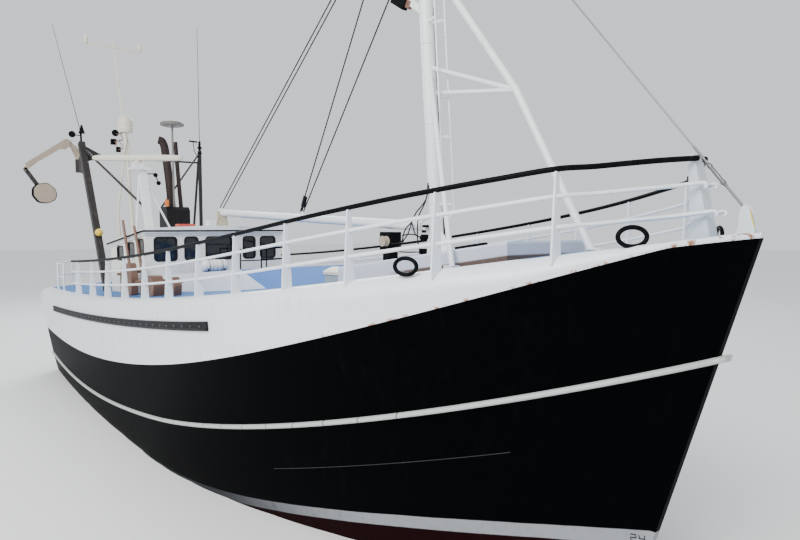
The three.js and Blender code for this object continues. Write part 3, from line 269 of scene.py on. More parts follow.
def bar(start, end, width, depth):
    """A square bar from point to point, its width level and its depth near the vertical."""
    start, end = np.array(start, float), np.array(end, float)
    along = (end - start) / np.linalg.norm(end - start)
    upright = np.array((1.0, 0, 0)) if abs(along[2]) > 0.99 else np.array((0, 0, 1.0))
    side = np.cross(upright, along)
    side /= np.linalg.norm(side)
    lift = np.cross(along, side)
    corner = np.array([(-1, -1), (1, -1), (1, 1), (-1, 1)]) / 2
    section = corner[:, :1] * width * side + corner[:, 1:] * depth * lift
    return capped(np.stack([start + section, end + section]))


def rounded_outline(a0, b0, a1, b1, radius, steps=6):
    """A rectangle with round corners: each corner is centre + radius (cos, sin) over a quarter turn."""
    quarter = np.linspace(0, math.pi / 2, steps)
    centres = [(a1 - radius, b1 - radius), (a0 + radius, b1 - radius),
               (a0 + radius, b0 + radius), (a1 - radius, b0 + radius)]
    arcs = [np.array(centre) + radius * np.stack(
        [np.cos(quarter + k * math.pi / 2), np.sin(quarter + k * math.pi / 2)], axis=1)
        for k, centre in enumerate(centres)]
    return np.concatenate(arcs)


def hoop(inner, outer, axis, low, high):
    """A frame between two outlines of as many points, as thick as from low to high."""
    first, second, third = PLANES[axis]
    points = np.zeros((4, len(inner), 3))
    for row, (outline, place) in enumerate([(inner, low), (outer, low), (outer, high), (inner, high)]):
        points[row, :, first] = outline[:, 0]
        points[row, :, second] = outline[:, 1]
        points[row, :, third] = place
    return grid_shell(points, wrap_rows=True, wrap_columns=True)


print("makers of flat pieces: prism, block, bar, hoop")

# %% [markdown]
# ## Fair curves and the other side
# A bent pipe runs smoothly through the points where it is held. A Bezier curve object would do, but its
# handles are set by hand. A spline through the points needs none. The boat is alike on both sides, so a
# piece made for port is turned over for starboard.


# %% Curves and copies
def curve_through(points, count):
    """A smooth path through points: a cubic between each two, whose end slopes come from the neighbours,
    weighed by the square root of the distances."""
    points = np.asarray(points, float)
    padded = np.vstack([2 * points[0] - points[1], points, 2 * points[-1] - points[-2]])
    gap = np.sqrt(np.linalg.norm(np.diff(padded, axis=0), axis=1))[:, None]
    where = np.linspace(0, len(points) - 1, count)
    k = np.minimum(where.astype(int), len(points) - 2)
    t = (where - k)[:, None]
    p0, p1, p2, p3 = padded[k], padded[k + 1], padded[k + 2], padded[k + 3]
    g0, g1, g2 = gap[k], gap[k + 1], gap[k + 2]
    leave = ((p1 - p0) / g0 - (p2 - p0) / (g0 + g1) + (p2 - p1) / g1) * g1
    arrive = ((p2 - p1) / g1 - (p3 - p1) / (g1 + g2) + (p3 - p2) / g2) * g1
    return ((2 * t**3 - 3 * t**2 + 1) * p1 + (t**3 - 2 * t**2 + t) * leave
            + (3 * t**2 - 2 * t**3) * p2 + (t**3 - t**2) * arrive)


def moved(shell, offset):
    """A shell shifted by an offset."""
    return shell[0] + np.array(offset, float), shell[1]


def mirrored(shell):
    """A shell turned over to the other side of the boat."""
    return shell[0] * np.array((1, -1, 1)), [face[::-1] for face in shell[1]]


def on_side(shells, side):
    """Shells as made for port, side 1, or turned over for starboard, side -1."""
    return shells if side > 0 else [mirrored(shell) for shell in shells]


SIDES = (("port", 1), ("starboard", -1))
print("curve_through, moved, mirrored and on_side are ready")

# %% [markdown]
# ## From shells to pieces
# A piece is one Blender object that rides on a body of the frame. Its doubled points are merged, its faces
# are made to look outward, and edges sharper than a limit stay crisp while the rest is shaded smooth. Each
# could be finished by hand in Edit Mode, but one function treats them all alike.

# %% Pieces
import bmesh

made_pieces = {}


def piece(name, shells, material, body="hull", stands_for=(), bevel=0.0, sharp=40, per_face=None):
    """Joins shells into one object on a body. stands_for names the frame's nodes that it replaces."""
    corners, faces, start = [], [], 0
    for points, quads in shells:
        corners.append(points)
        faces += [[start + k for k in face] for face in quads]
        start += len(points)
    mesh = bpy.data.meshes.new(name)
    mesh.from_pydata(np.concatenate(corners).tolist(), [], faces)
    work = bmesh.new()
    work.from_mesh(mesh)
    bmesh.ops.remove_doubles(work, verts=work.verts, dist=1e-5)
    bmesh.ops.recalc_face_normals(work, faces=work.faces)
    work.to_mesh(mesh)
    work.free()
    mesh.shade_smooth()
    mesh.set_sharp_from_angle(angle=math.radians(sharp))
    for entry in material if isinstance(material, (list, tuple)) else [material]:
        mesh.materials.append(entry)
    if per_face is not None:
        centres = np.zeros(len(mesh.polygons) * 3)
        mesh.polygons.foreach_get("center", centres)
        mesh.polygons.foreach_set("material_index", per_face(centres.reshape(-1, 3)).astype(np.int32))
    obj = bpy.data.objects.new(name, mesh)
    bpy.context.scene.collection.objects.link(obj)
    if bevel:
        rounding = obj.modifiers.new("rounding", "BEVEL")
        rounding.width = bevel
        rounding.segments = 2
        rounding.limit_method = "ANGLE"
        rounding.harden_normals = False
    if body:
        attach(obj, body)
    if stands_for:
        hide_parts(*stands_for)
    made_pieces[name] = len(mesh.polygons)
    return obj


print("the maker of pieces is ready")

# %% [markdown]
# ## Paint that has been at sea
# A material is a tree of nodes, and a boat needs some forty of them. Nodes could be placed by hand in the
# Shader Editor, but a few short functions lay and link them, and read almost like the sums that they stand
# for.


# %% Node helpers
def lay(tree, kind, inputs=None, **settings):
    """Adds a node. Inputs that are sockets are linked, and the others are set as values."""
    made = tree.nodes.new("ShaderNode" + kind)
    for key, value in settings.items():
        setattr(made, key, value)
    for key, value in (inputs or {}).items():
        if isinstance(value, bpy.types.NodeSocket):
            tree.links.new(value, made.inputs[key])
        else:
            made.inputs[key].default_value = value
    return made


def maths(tree, operation, a, b=0.0, clamp=False):
    """One sum of two values, held between 0 and 1 where clamp is set."""
    return lay(tree, "Math", {0: a, 1: b}, operation=operation, use_clamp=clamp).outputs[0]


def plus(tree, a, b):
    """The sum a plus b."""
    return maths(tree, "ADD", a, b)


def minus(tree, a, b):
    """The sum a less b."""
    return maths(tree, "SUBTRACT", a, b)


def times(tree, a, b):
    """The sum a times b."""
    return maths(tree, "MULTIPLY", a, b)


def blend_colours(tree, factor, a, b):
    """Colour a where the factor is 0, b where it is 1, and a mix between."""
    return lay(tree, "Mix", {0: factor, 6: a, 7: b}, data_type="RGBA").outputs[2]


def band(tree, value, low, high, to_low=0.0, to_high=1.0):
    """A smooth step of a value from one level to another."""
    return lay(tree, "MapRange", {"Value": value, "From Min": low, "From Max": high, "To Min": to_low,
                                  "To Max": to_high}, interpolation_type="SMOOTHSTEP").outputs[0]


def noise_at(tree, coordinates, scale, detail=4.0, roughness=0.6):
    """Cloudy noise from 0 to 1. A larger scale gives smaller clouds."""
    return lay(tree, "TexNoise", {"Vector": coordinates, "Scale": scale, "Detail": detail,
                                  "Roughness": roughness}).outputs["Fac"]


def stretched(tree, coordinates, factors):
    """Coordinates times a factor for each axis: a small factor draws the pattern out along that axis."""
    return lay(tree, "VectorMath", {0: coordinates, 1: factors}, operation="MULTIPLY").outputs[0]


def new_group(name, inputs, outputs):
    """A node group with its sockets: inputs are (name, kind, value), outputs are (name, kind)."""
    group = bpy.data.node_groups.new(name, "ShaderNodeTree")
    for label, kind, value in inputs:
        socket = group.interface.new_socket(label, in_out="INPUT", socket_type="NodeSocket" + kind)
        socket.default_value = value
    for label, kind in outputs:
        group.interface.new_socket(label, in_out="OUTPUT", socket_type="NodeSocket" + kind)
    return group, group.nodes.new("NodeGroupInput").outputs, group.nodes.new("NodeGroupOutput").inputs


print("node helpers are ready")

# %% [markdown]
# ## Salt, dirt and rust
# Every painted surface on a working boat has the same history: plating that is slightly wavy between its
# frames, salt and dirt that runs down, and rust that starts in spots and bleeds below them. It could be
# painted by hand in an image, but noise in the boat's own coordinates has the right size everywhere. It is
# one node group, built once, that takes each material's own colours through its inputs.

# %% Weathering group
RUST_DARK = (0.09, 0.035, 0.018, 1)
RUST_LIGHT = (0.33, 0.13, 0.045, 1)

weathering, given, out = new_group(
    "weathering",
    [("Paint", "Color", (0.8, 0.8, 0.8, 1)), ("Grime", "Color", (0.3, 0.28, 0.24, 1)),
     ("Grime Amount", "Float", 0.4), ("Rust Amount", "Float", 0.2), ("Size", "Float", 1.0)],
    [("Color", "Color"), ("Roughness", "Float"), ("Height", "Float")])
tree = weathering
where = lay(tree, "TexCoord").outputs["Object"]
sized = lay(tree, "VectorMath", {0: where, "Scale": given["Size"]}, operation="SCALE").outputs[0]
broad = noise_at(tree, sized, 0.55, 3.0)
fine = noise_at(tree, sized, 9.0, 6.0, 0.65)
runs = noise_at(tree, stretched(tree, sized, (7.0, 7.0, 0.45)), 1.0, 4.0)
spots = noise_at(tree, sized, 3.2, 7.0, 0.62)
bleed = noise_at(tree, stretched(tree, sized, (11.0, 11.0, 0.9)), 1.0, 3.0)

streaks = times(tree, band(tree, runs, 0.5, 0.78), band(tree, broad, 0.35, 0.7))
film = times(tree, band(tree, fine, 0.45, 0.8), 0.35)
dust = plus(tree, film, streaks)
grime_mask = maths(tree, "MULTIPLY", dust, given["Grime Amount"], clamp=True)
dirty = blend_colours(tree, grime_mask, given["Paint"], given["Grime"])

spot_level = minus(tree, 0.80, times(tree, given["Rust Amount"], 0.22))
spot_end = plus(tree, spot_level, 0.05)
rust_spots = band(tree, spots, spot_level, spot_end)
bleed_level = minus(tree, 0.83, times(tree, given["Rust Amount"], 0.22))
rust_runs = band(tree, bleed, bleed_level, plus(tree, bleed_level, 0.12))
near_spots = band(tree, spots, 0.5, 0.66)
rust_runs = times(tree, rust_runs, near_spots)
rusted = maths(tree, "MAXIMUM", rust_spots, times(tree, rust_runs, 0.75))
rust_tone = blend_colours(tree, fine, RUST_DARK, RUST_LIGHT)
tree.links.new(blend_colours(tree, rusted, dirty, rust_tone), out["Color"])
matt = plus(tree, 0.34, times(tree, fine, 0.16))
matt = plus(tree, matt, times(tree, grime_mask, 0.25))
matt = plus(tree, matt, times(tree, rusted, 0.4))
tree.links.new(matt, out["Roughness"])
waves = times(tree, broad, 0.9)
skin = plus(tree, waves, times(tree, fine, 0.045))
tree.links.new(plus(tree, skin, times(tree, rusted, 0.06)), out["Height"])
print("group weathering:", len(weathering.nodes), "nodes")

# %% [markdown]
# ## The paints
# Each paint is the same recipe: a Principled shader whose colour, roughness and bump come from the
# weathering group. Constant values, such as the thin clear gloss of fresh enamel, sit on the shader itself.
# Black paint gets a low index of refraction, because at a glancing angle a higher one turns it grey with the
# sky.


# %% Paint recipe
def weathered(name, paint, grime=(0.3, 0.27, 0.22), dirt=0.4, rust=0.2, size=1.0, bump=0.35, gloss=0.0,
              metallic=0.0, ior=1.5):
    """A painted or bare metal finish: dirt and rust say how much, size how fine the pattern is."""
    material = bpy.data.materials.new(name)
    material.use_nodes = True
    tree = material.node_tree
    shader = tree.nodes["Principled BSDF"]
    wear = tree.nodes.new("ShaderNodeGroup")
    wear.node_tree = weathering
    wear.inputs["Paint"].default_value = (*paint, 1)
    wear.inputs["Grime"].default_value = (*grime, 1)
    wear.inputs["Grime Amount"].default_value = dirt
    wear.inputs["Rust Amount"].default_value = rust
    wear.inputs["Size"].default_value = size
    tree.links.new(wear.outputs["Color"], shader.inputs["Base Color"])
    tree.links.new(wear.outputs["Roughness"], shader.inputs["Roughness"])
    relief = lay(tree, "Bump", {"Height": wear.outputs["Height"], "Strength": bump, "Distance": 0.02})
    tree.links.new(relief.outputs["Normal"], shader.inputs["Normal"])
    shader.inputs["Metallic"].default_value = metallic
    shader.inputs["IOR"].default_value = ior
    shader.inputs["Coat Weight"].default_value = gloss
    shader.inputs["Coat Roughness"].default_value = 0.12
    return material


print("the paint recipe is ready")

# %% [markdown]
# ## Finishes of the boat
# White covers all that stands above the deck edge, in shades that differ: the plating and rails have a
# bluish grey white, partly painted shade of the white sides, while the roof and mast are whiter and the house
# is cream. The gantry and the pipes are dark, and bare steel is brown with rust. A separate node tree for
# each would drift apart as it is changed, so each finish is one line that gives the recipe its own values.

# %% Paints
# WHITE is a bluish grey white. Part of it is painted shade: the blue-grey of white sides in soft shade.
WHITE = (0.75, 0.80, 0.85)
BLACK = (0.0010, 0.0012, 0.0016)
DECK_BLUE = (0.075, 0.21, 0.48)

white_plating = weathered("white_plating", WHITE, dirt=0.28, rust=0.16, gloss=0.25)
white_rail = weathered("white_rail_paint", WHITE, dirt=0.35, rust=0.3, size=2.5, gloss=0.2)
mast_white = weathered("mast_white", (0.79, 0.81, 0.82), dirt=0.35, rust=0.14, size=1.6, gloss=0.2)
roof_white = weathered("roof_white", (0.82, 0.83, 0.83), dirt=0.4, rust=0.12, size=1.5, gloss=0.15)
house_cream = weathered("house_cream", (0.82, 0.81, 0.76), dirt=0.3, rust=0.12, size=1.4, gloss=0.3)
crane_cream = weathered("crane_cream", (0.36, 0.30, 0.235), grime=(0.2, 0.17, 0.14), dirt=0.7, rust=0.4,
                        size=2.2, ior=1.3)
gantry_dark = weathered("gantry_dark_paint", (0.032, 0.03, 0.03), grime=(0.16, 0.135, 0.12), dirt=0.55,
                        rust=0.45, size=2.0, ior=1.2)
hatch_grey = weathered("hatch_grey", (0.3, 0.35, 0.36), dirt=0.4, rust=0.2)
deck_blue = weathered("deck_blue", DECK_BLUE, grime=(0.13, 0.2, 0.3), dirt=0.5, rust=0.25, size=1.6,
                      ior=1.08)
rail_black = weathered("rail_black", (0.003, 0.0035, 0.0045), grime=(0.06, 0.06, 0.06), dirt=0.12, rust=0.08,
                       size=3.0, ior=1.12)
gear_rusty = weathered("gear_rusty", (0.24, 0.13, 0.075), grime=(0.12, 0.1, 0.09), dirt=0.7, rust=1.4,
                       size=3.0, bump=0.6)
soot_pipe = weathered("soot_pipe", (0.035, 0.024, 0.024), grime=(0.012, 0.011, 0.011), dirt=0.8, rust=0.55,
                      size=3.0, ior=1.2)
wire_grey = weathered("wire_grey", (0.16, 0.165, 0.18), dirt=0.5, rust=0.5, size=8.0, metallic=0.7)
wire_dark = weathered("wire_dark", (0.012, 0.012, 0.014), grime=(0.1, 0.09, 0.08), dirt=0.3, rust=0.25,
                      size=8.0, ior=1.2)
worn_bronze = weathered("worn_bronze", (0.5, 0.34, 0.16), grime=(0.12, 0.2, 0.16), dirt=0.7, rust=0.0,
                        size=3.0, metallic=0.9)
red_bottom = weathered("red_bottom", (0.15, 0.028, 0.022), grime=(0.07, 0.09, 0.06), dirt=0.8, rust=0.1)
moulded_white = weathered("moulded_white", (0.83, 0.83, 0.81), dirt=0.25, rust=0.0, size=2.5, bump=0.1,
                          gloss=0.5)
fender_rubber = weathered("fender_rubber", (0.008, 0.009, 0.011), grime=(0.09, 0.09, 0.1), dirt=0.6,
                          rust=0.0, size=4.0, bump=0.5, ior=1.15)
aged_white = weathered("aged_white", (0.62, 0.6, 0.5), dirt=0.35, rust=0.1, size=2.5, bump=0.15)
funnel_black = weathered("funnel_black", (0.012, 0.012, 0.013), grime=(0.06, 0.055, 0.05), dirt=0.4,
                         rust=0.3, size=2.0, ior=1.2)
disc_grey = weathered("disc_grey", (0.15, 0.145, 0.14), dirt=0.3, rust=0.1, size=3.0)
crutch_cream = weathered("crutch_cream", (0.5, 0.46, 0.32), grime=(0.2, 0.15, 0.1), dirt=0.9, rust=0.9,
                         size=3.0)
strake_white = weathered("strake_white", (0.44, 0.46, 0.46), grime=(0.24, 0.22, 0.16), dirt=0.6, rust=0.5,
                         size=2.5)
bow_grey = weathered("bow_grey", (0.58, 0.64, 0.67), dirt=0.25, rust=0.15, size=2.5)
seam_grey = weathered("seam_grey", (0.035, 0.036, 0.038), dirt=0.3, rust=0.2, size=4.0, ior=1.12)
rust_brown = weathered("rust_brown", (0.15, 0.075, 0.05), grime=(0.06, 0.045, 0.04), dirt=0.7, rust=1.0,
                       size=3.0)
print(len(bpy.data.materials), "materials so far")

# %% [markdown]
# ## Paint in zones
# The side of the hull carries three paints: gloss black, a pale band that sweeps up towards the stem, and
# dull red antifouling under it. Aft of x = 3 the pale band is painted almost black, a painted shadow, and it
# turns to its grey by x = 7.4. On the real boat a painter strikes the line with a batten. The plating could
# be cut along that line, but a cubic in x says how high it runs, and the height above it decides which
# colour shows.


# %% Hull paint by height
def places_in(tree):
    """The object's own coordinates, whole and split into x, y and z."""
    here = lay(tree, "TexCoord").outputs["Object"]
    return here, lay(tree, "SeparateXYZ", {0: here}).outputs


def repaint(tree, colour):
    """Leads a colour that changes over the surface to the weathering group of a finish."""
    wear = next(node for node in tree.nodes if node.type == "GROUP")
    tree.links.new(colour, wear.inputs["Paint"])
    return wear


BOOT_CUBIC = (-0.0019, 0.0396, -0.1032, 0.1138)
BOOT_FIRST_X = 1.5
BOOT_DEPTH_AFT = 0.17
BOOT_DEPTH_FORWARD = 0.235
# BOOT_IN_SHADOW is painted shadow: the aft part of the pale band drawn almost black.
BOOT_IN_SHADOW = (0.03, 0.032, 0.036, 1)
BOOT_GREY = (0.27, 0.285, 0.305, 1)
BOTTOM_RED = (0.010, 0.0025, 0.003, 1)

hull_paint = weathered("hull_black", BLACK, grime=(0.012, 0.012, 0.013), dirt=0.15, rust=0.08, size=0.9,
                       bump=0.35, ior=1.05)
tree = hull_paint.node_tree
here, place = places_in(tree)
forward = maths(tree, "MAXIMUM", place["X"], BOOT_FIRST_X)
boot_top = BOOT_CUBIC[0]
for factor in BOOT_CUBIC[1:]:
    boot_top = plus(tree, times(tree, forward, boot_top), factor)
boot_depth = lay(tree, "MapRange", {"Value": forward, "From Min": 2.0, "From Max": 8.5,
                                    "To Min": -BOOT_DEPTH_AFT, "To Max": -BOOT_DEPTH_FORWARD}).outputs[0]
wobble = times(tree, noise_at(tree, here, 2.0), 0.02)
above = minus(tree, place["Z"], plus(tree, boot_top, wobble))
in_black = band(tree, above, -0.006, 0.006)
in_red = band(tree, minus(tree, above, boot_depth), 0.01, -0.01)
# Painted shadow: the band is almost black aft of x = 3 and turns to its grey by x = 7.4.
pale = blend_colours(tree, band(tree, forward, 3.0, 7.4), BOOT_IN_SHADOW, BOOT_GREY)
lower = blend_colours(tree, in_red, pale, BOTTOM_RED)
wear = repaint(tree, blend_colours(tree, in_black, lower, (*BLACK, 1)))
tree.links.new(band(tree, in_black, 0.0, 1.0, 0.5, 0.15), wear.inputs["Grime Amount"])
print("hull_black in three zones")

# %% [markdown]
# ## Casing and trunk
# The casing's top is a brighter blue than the deck, and its side is white. The trunk under the mast has a
# white top edge, pale grey sides and a brown foot where the paint is scraped off. These could be slots on
# cut faces, but the solids come from the frame and aren't cut, so a step in y or in height does it.

# %% Casing and trunk paints
CASING_BLUE = (0.045, 0.17, 0.50)
casing_paint = weathered("casing_paint", CASING_BLUE, grime=(0.1, 0.19, 0.38), dirt=0.3, rust=0.12, size=1.3,
                         ior=1.08)
tree = casing_paint.node_tree
here, place = places_in(tree)
at_side = band(tree, maths(tree, "ABSOLUTE", place["Y"]), 1.594, 1.599)
repaint(tree, blend_colours(tree, at_side, (*CASING_BLUE, 1), (*WHITE, 1)))

SHEER = (3.78, 0.0906, 0.003476)
DECK_CAMBER = 0.12
TRUNK_TOP = (4.03, 0.1341)
TRUNK_COLOUR = (0.6, 0.61, 0.66)
SCRAPED_FOOT = (0.11, 0.065, 0.045, 1)
trunk_paint = weathered("trunk_paint", TRUNK_COLOUR, dirt=0.4, rust=0.2)
tree = trunk_paint.node_tree
here, place = places_in(tree)
top_line = plus(tree, times(tree, place["X"], TRUNK_TOP[1]), TRUNK_TOP[0])
below_top = minus(tree, top_line, place["Z"])
foot_line = SHEER[0] + DECK_CAMBER
for power in (1, 2):
    term = times(tree, maths(tree, "POWER", place["X"], power), SHEER[power])
    foot_line = plus(tree, term, foot_line)
over_foot = minus(tree, place["Z"], foot_line)
zoned = blend_colours(tree, band(tree, below_top, 0.03, 0.036), (*WHITE, 1), (*TRUNK_COLOUR, 1))
worn_foot = times(tree, band(tree, over_foot, 0.05, 0.02), band(tree, place["X"], 6.2, 6.9))
repaint(tree, blend_colours(tree, worn_foot, zoned, SCRAPED_FOOT))
print("casing_paint and trunk_paint")

# %% [markdown]
# ## White plating
# Where the white side meets the black, rust creeps up from the edge at the bow, and old rust has run down
# from the gunwale and dried yellow. Decals could place these, but noise that is cut to a band over the paint
# line, and noise stretched downwards, give an edge and drips that never repeat.

# %% White plating paint
PAINT_FOOT_X = -8.0
PAINT_FOOT_Z = 1.63
PAINT_RISE = 0.0094
EDGE_RUST = (0.3, 0.12, 0.05, 1)
DRIED_DRIP = (0.5, 0.47, 0.33, 1)
tree = white_plating.node_tree
here, place = places_in(tree)
from_foot = minus(tree, place["X"], PAINT_FOOT_X)
rise = times(tree, maths(tree, "POWER", from_foot, 2.0), PAINT_RISE)
line_high = plus(tree, rise, PAINT_FOOT_Z)
over_line = minus(tree, place["Z"], line_high)
speckle = noise_at(tree, here, 7.0, 5.0)
edge_rust = times(tree, band(tree, over_line, 0.05, 0.0), band(tree, speckle, 0.52, 0.62))
edge_rust = times(tree, edge_rust, band(tree, place["X"], 5.0, 8.0))
streak = band(tree, noise_at(tree, stretched(tree, here, (9.0, 9.0, 0.35)), 1.0, 3.0), 0.62, 0.76)
old_drips = times(tree, times(tree, streak, 0.5), band(tree, place["X"], 9.0, 3.0))
tinted = blend_colours(tree, old_drips, (*WHITE, 1), DRIED_DRIP)
repaint(tree, blend_colours(tree, edge_rust, tinted, EDGE_RUST))
print("white_plating with rust at the bow and dried drips")

# %% [markdown]
# ## Smaller finishes
# Window glass is dark from outside because the wheelhouse is unlit. A mirror-black plastic would look alike
# from afar, but smoked glass with some transmission still shows the frames behind it. Lamps and hoses use
# the paint recipe with colours of their own.


# %% Glass and small finishes
def smoked_glass(name, colour, transmission):
    """Dark glass that lets some light through, with a faint film of dried salt."""
    material = bpy.data.materials.new(name)
    material.use_nodes = True
    tree = material.node_tree
    shader = tree.nodes["Principled BSDF"]
    speckle = noise_at(tree, lay(tree, "TexCoord").outputs["Object"], 6.0, 5.0)
    tree.links.new(blend_colours(tree, band(tree, speckle, 0.5, 0.8), (*colour, 1), (0.05, 0.055, 0.06, 1)),
                   shader.inputs["Base Color"])
    tree.links.new(band(tree, speckle, 0.4, 0.8, 0.04, 0.16), shader.inputs["Roughness"])
    shader.inputs["IOR"].default_value = 1.5
    shader.inputs["Transmission Weight"].default_value = transmission
    return material


window_glass = smoked_glass("window_glass", (0.012, 0.014, 0.017), 0.35)
red_paint = weathered("red_paint", (0.5, 0.05, 0.03), dirt=0.3, rust=0.0, size=4.0)
yellow_paint = weathered("yellow_paint", (0.72, 0.52, 0.05), dirt=0.4, rust=0.2, size=4.0)
orange_paint = weathered("orange_paint", (0.75, 0.2, 0.03), dirt=0.3, rust=0.0, size=4.0)
hose_black = weathered("hose_black", (0.009, 0.009, 0.01), grime=(0.1, 0.1, 0.1), dirt=0.3, rust=0.0,
                       size=6.0, ior=1.25)
print(len(bpy.data.materials), "materials in all")

# %% [markdown]
# ## The lines of the hull
# A naval architect draws a hull as a family of fair curves. These few functions are those curves: the sheer
# of the deck edge, the paint line, the strake, the raked stem, the stern and the bottom. A subdivided cage
# could look similar, but the same functions also tell every rail and fitting where it belongs.


# %% Lines of the hull
STEM_SLOPE = 0.29


def deck_edge(x):
    """Height of the sheer: a parabola in x that rises to the bow."""
    return SHEER[0] + SHEER[1] * x + SHEER[2] * x * x


def paint_line(x):
    """Height where black meets white: a parabola in x, kept under the deck edge."""
    return np.minimum(PAINT_FOOT_Z + PAINT_RISE * (x - PAINT_FOOT_X) ** 2, deck_edge(x) - 0.07)


def strake_line(x):
    """Height of the strake's top: a parabola with its foot at x = -7."""
    return 0.622 + 0.00912 * (x + 7) ** 2


def stem_x(z):
    """How far the stem reaches at a height: a straight rake, and below water a parabola, the forefoot."""
    above_water = 12.2 - STEM_SLOPE * (5.38 - z)
    below_water = 12.2 - STEM_SLOPE * 5.38 + STEM_SLOPE * z - 0.55 * z * z
    return np.where(z >= 0, above_water, below_water)


def stern_x(z):
    """How far aft the stern reaches: it leans out by 0.12 for each metre of height."""
    return -12.2 + 0.12 * (3.3 - z)


def hull_bottom(x):
    """Height of the bottom: it falls slowly to x = -3 and then sweeps up to the counter in a smooth step."""
    t = np.clip((-3 - x) / 9.2, 0, 1)
    return np.where(x > -3, -1.3 - (9.2 - x) * 0.095, -2.459 + 2.1 * t * t * (3 - 2 * t))


STERN_END = -12.2
HULL_LENGTH = 24.4
print("deck edge at the stem:", round(float(deck_edge(STERN_END + HULL_LENGTH)), 2), "m over the waterline")

# %% [markdown]
# ## Breadth of the hull
# Seen from above, the side is straight amidships, closes in a full curve to the stem and is rounded at the
# quarter. Below water each section also closes in to the keel. A lofted surface through drawn sections would
# need dozens of points, while one formula in x and z gives the whole side and stays fair.


# %% Half breadth and stations
def half_breadth(x, z):
    """Half the width of the plating. Above water: a full breadth that rounds in to the stem as
    (1 - u^p)^q, less the round of the quarter. Below water it also closes to the keel."""
    v = np.clip(z / deck_edge(x), 0, 1)
    full = 3.33 + (3.53 - 3.33) * np.sqrt(v)
    shoulder = 3.0 * v
    u = np.clip((x - shoulder) / (stem_x(z) - shoulder), 0, 1)
    half = full * (1 - u ** (1.9 + 0.7 * v)) ** (1.1 - 0.4 * v)
    run = np.clip((-2 - x) / 10.2, 0, 1)
    half = half * (1 - 0.14 * (1 - v) * run * run)
    radius = 0.4 + 0.6 * v
    past = np.clip(stern_x(z) + radius - x, 0, radius)
    half = half - (radius - np.sqrt(radius * radius - past * past))
    depth = np.clip(z / hull_bottom(x), 0, 1)
    middle = 1 - np.clip(np.abs(x + 0.5) / 9, 0, 1)
    closing = (1 - depth ** (1.2 + 1.4 * middle)) ** (1 - 0.35 * middle)
    return np.maximum(np.where(z < 0, half * closing, half), 0.06)


def hull_point(station, height_at):
    """Where a station, 0 at the stern and 1 at the stem, meets a level whose height depends on x."""
    x = STERN_END + HULL_LENGTH * station
    z = height_at(x)
    for _ in range(12):
        x = stern_x(z) + (stem_x(z) - stern_x(z)) * station
        z = height_at(x)
    return np.stack([x, half_breadth(x, z), z], axis=-1)


quarter = 0.042 * (1 - np.cos(np.linspace(0, math.pi / 2, 14)))
entrance = 0.9 + 0.1 * np.sin(np.linspace(0, math.pi / 2, 30))
stations = np.concatenate([quarter, np.linspace(0.042, 0.9, 110)[1:], entrance[1:]])
print("stations:", len(stations), " greatest half breadth:", round(float(half_breadth(0.0, 3.7)), 2), "m")

# %% [markdown]
# ## Hull
# The lower hull is one skin from the keel line to the paint line, with a transom, a stem face and a lid that
# close it. It could be drawn as one half with a Mirror modifier. A grid with a row for each station and a
# column for each level, laid out for both sides at once, has no seam on the centreline.


# %% Hull skin
def both_sides(rows):
    """A grid of (station, level) for port with its mirror image put before it: y becomes -y."""
    return np.concatenate([(rows * np.array((1, -1, 1)))[:, ::-1], rows], axis=1)


def lid_faces(ring):
    """A strip of quads from the first column of a hull's grid to its last, station by station."""
    return [[row * ring, row * ring + ring - 1, (row + 1) * ring + ring - 1, (row + 1) * ring]
            for row in range(len(stations) - 1)]


def end_faces(ring):
    """Quads across the first station, and the same across the last: point k is joined to its mirror image."""
    transom = [[k, k + 1, ring - 2 - k, ring - 1 - k] for k in range(ring // 2 - 1)]
    if ring % 2:
        transom.append([ring // 2 - 1, ring // 2, ring // 2 + 1])
    stem_start = (len(stations) - 1) * ring
    return transom + [[stem_start + k for k in face] for face in transom]


hull_levels = np.concatenate([np.linspace(0, 0.2, 9)[:-1], np.linspace(0.2, 1, 22)])
hull_rows = np.stack([
    hull_point(stations, lambda x, level=level: hull_bottom(x) + (paint_line(x) - hull_bottom(x)) * level)
    for level in hull_levels], axis=1)
hull_around = both_sides(hull_rows)
hull_skin = grid_shell(hull_around)
ring = hull_around.shape[1]
hull_skin[1].extend(lid_faces(ring) + end_faces(ring))
rudder_trunk = rod((-11.1, 0, 0.3), (-11.1, 0, -0.76), 0.13, 24)
piece("hull_skin", [hull_skin, rudder_trunk], hull_paint, stands_for=["hull"], sharp=50)
print("hull skin:", made_pieces["hull_skin"], "faces")

# %% [markdown]
# ## Shelter deck
# The white shelter stands on the hull. Its top edge is rolled in like a pipe cut lengthwise, and the blue
# deck with its camber closes it, inside a white margin. Bevelled edges could stand for the roll, but its
# radius shrinks to nothing at the stem, so it is worked out for each station.

# %% Shelter skin
GUNWALE_RADIUS = 0.26
BLUE_END_X = 11.75
SEAM = 0.0003
rim_shape = hull_point(stations, deck_edge)
room = np.maximum(deck_edge(rim_shape[:, 0]) - paint_line(rim_shape[:, 0]), 0.07)
roll = np.minimum(np.minimum(GUNWALE_RADIUS, 0.75 * room), 0.4 * rim_shape[:, 1])
shelter_levels = np.linspace(0, 1, 14)


def shelter_height(x, level):
    """Height of a level of the side, 0 on the paint line and 1 where the roll of the gunwale starts."""
    roll_start = deck_edge(x) - np.interp(x, rim_shape[:, 0], roll)
    return (paint_line(x) + SEAM) * (1 - level) + roll_start * level


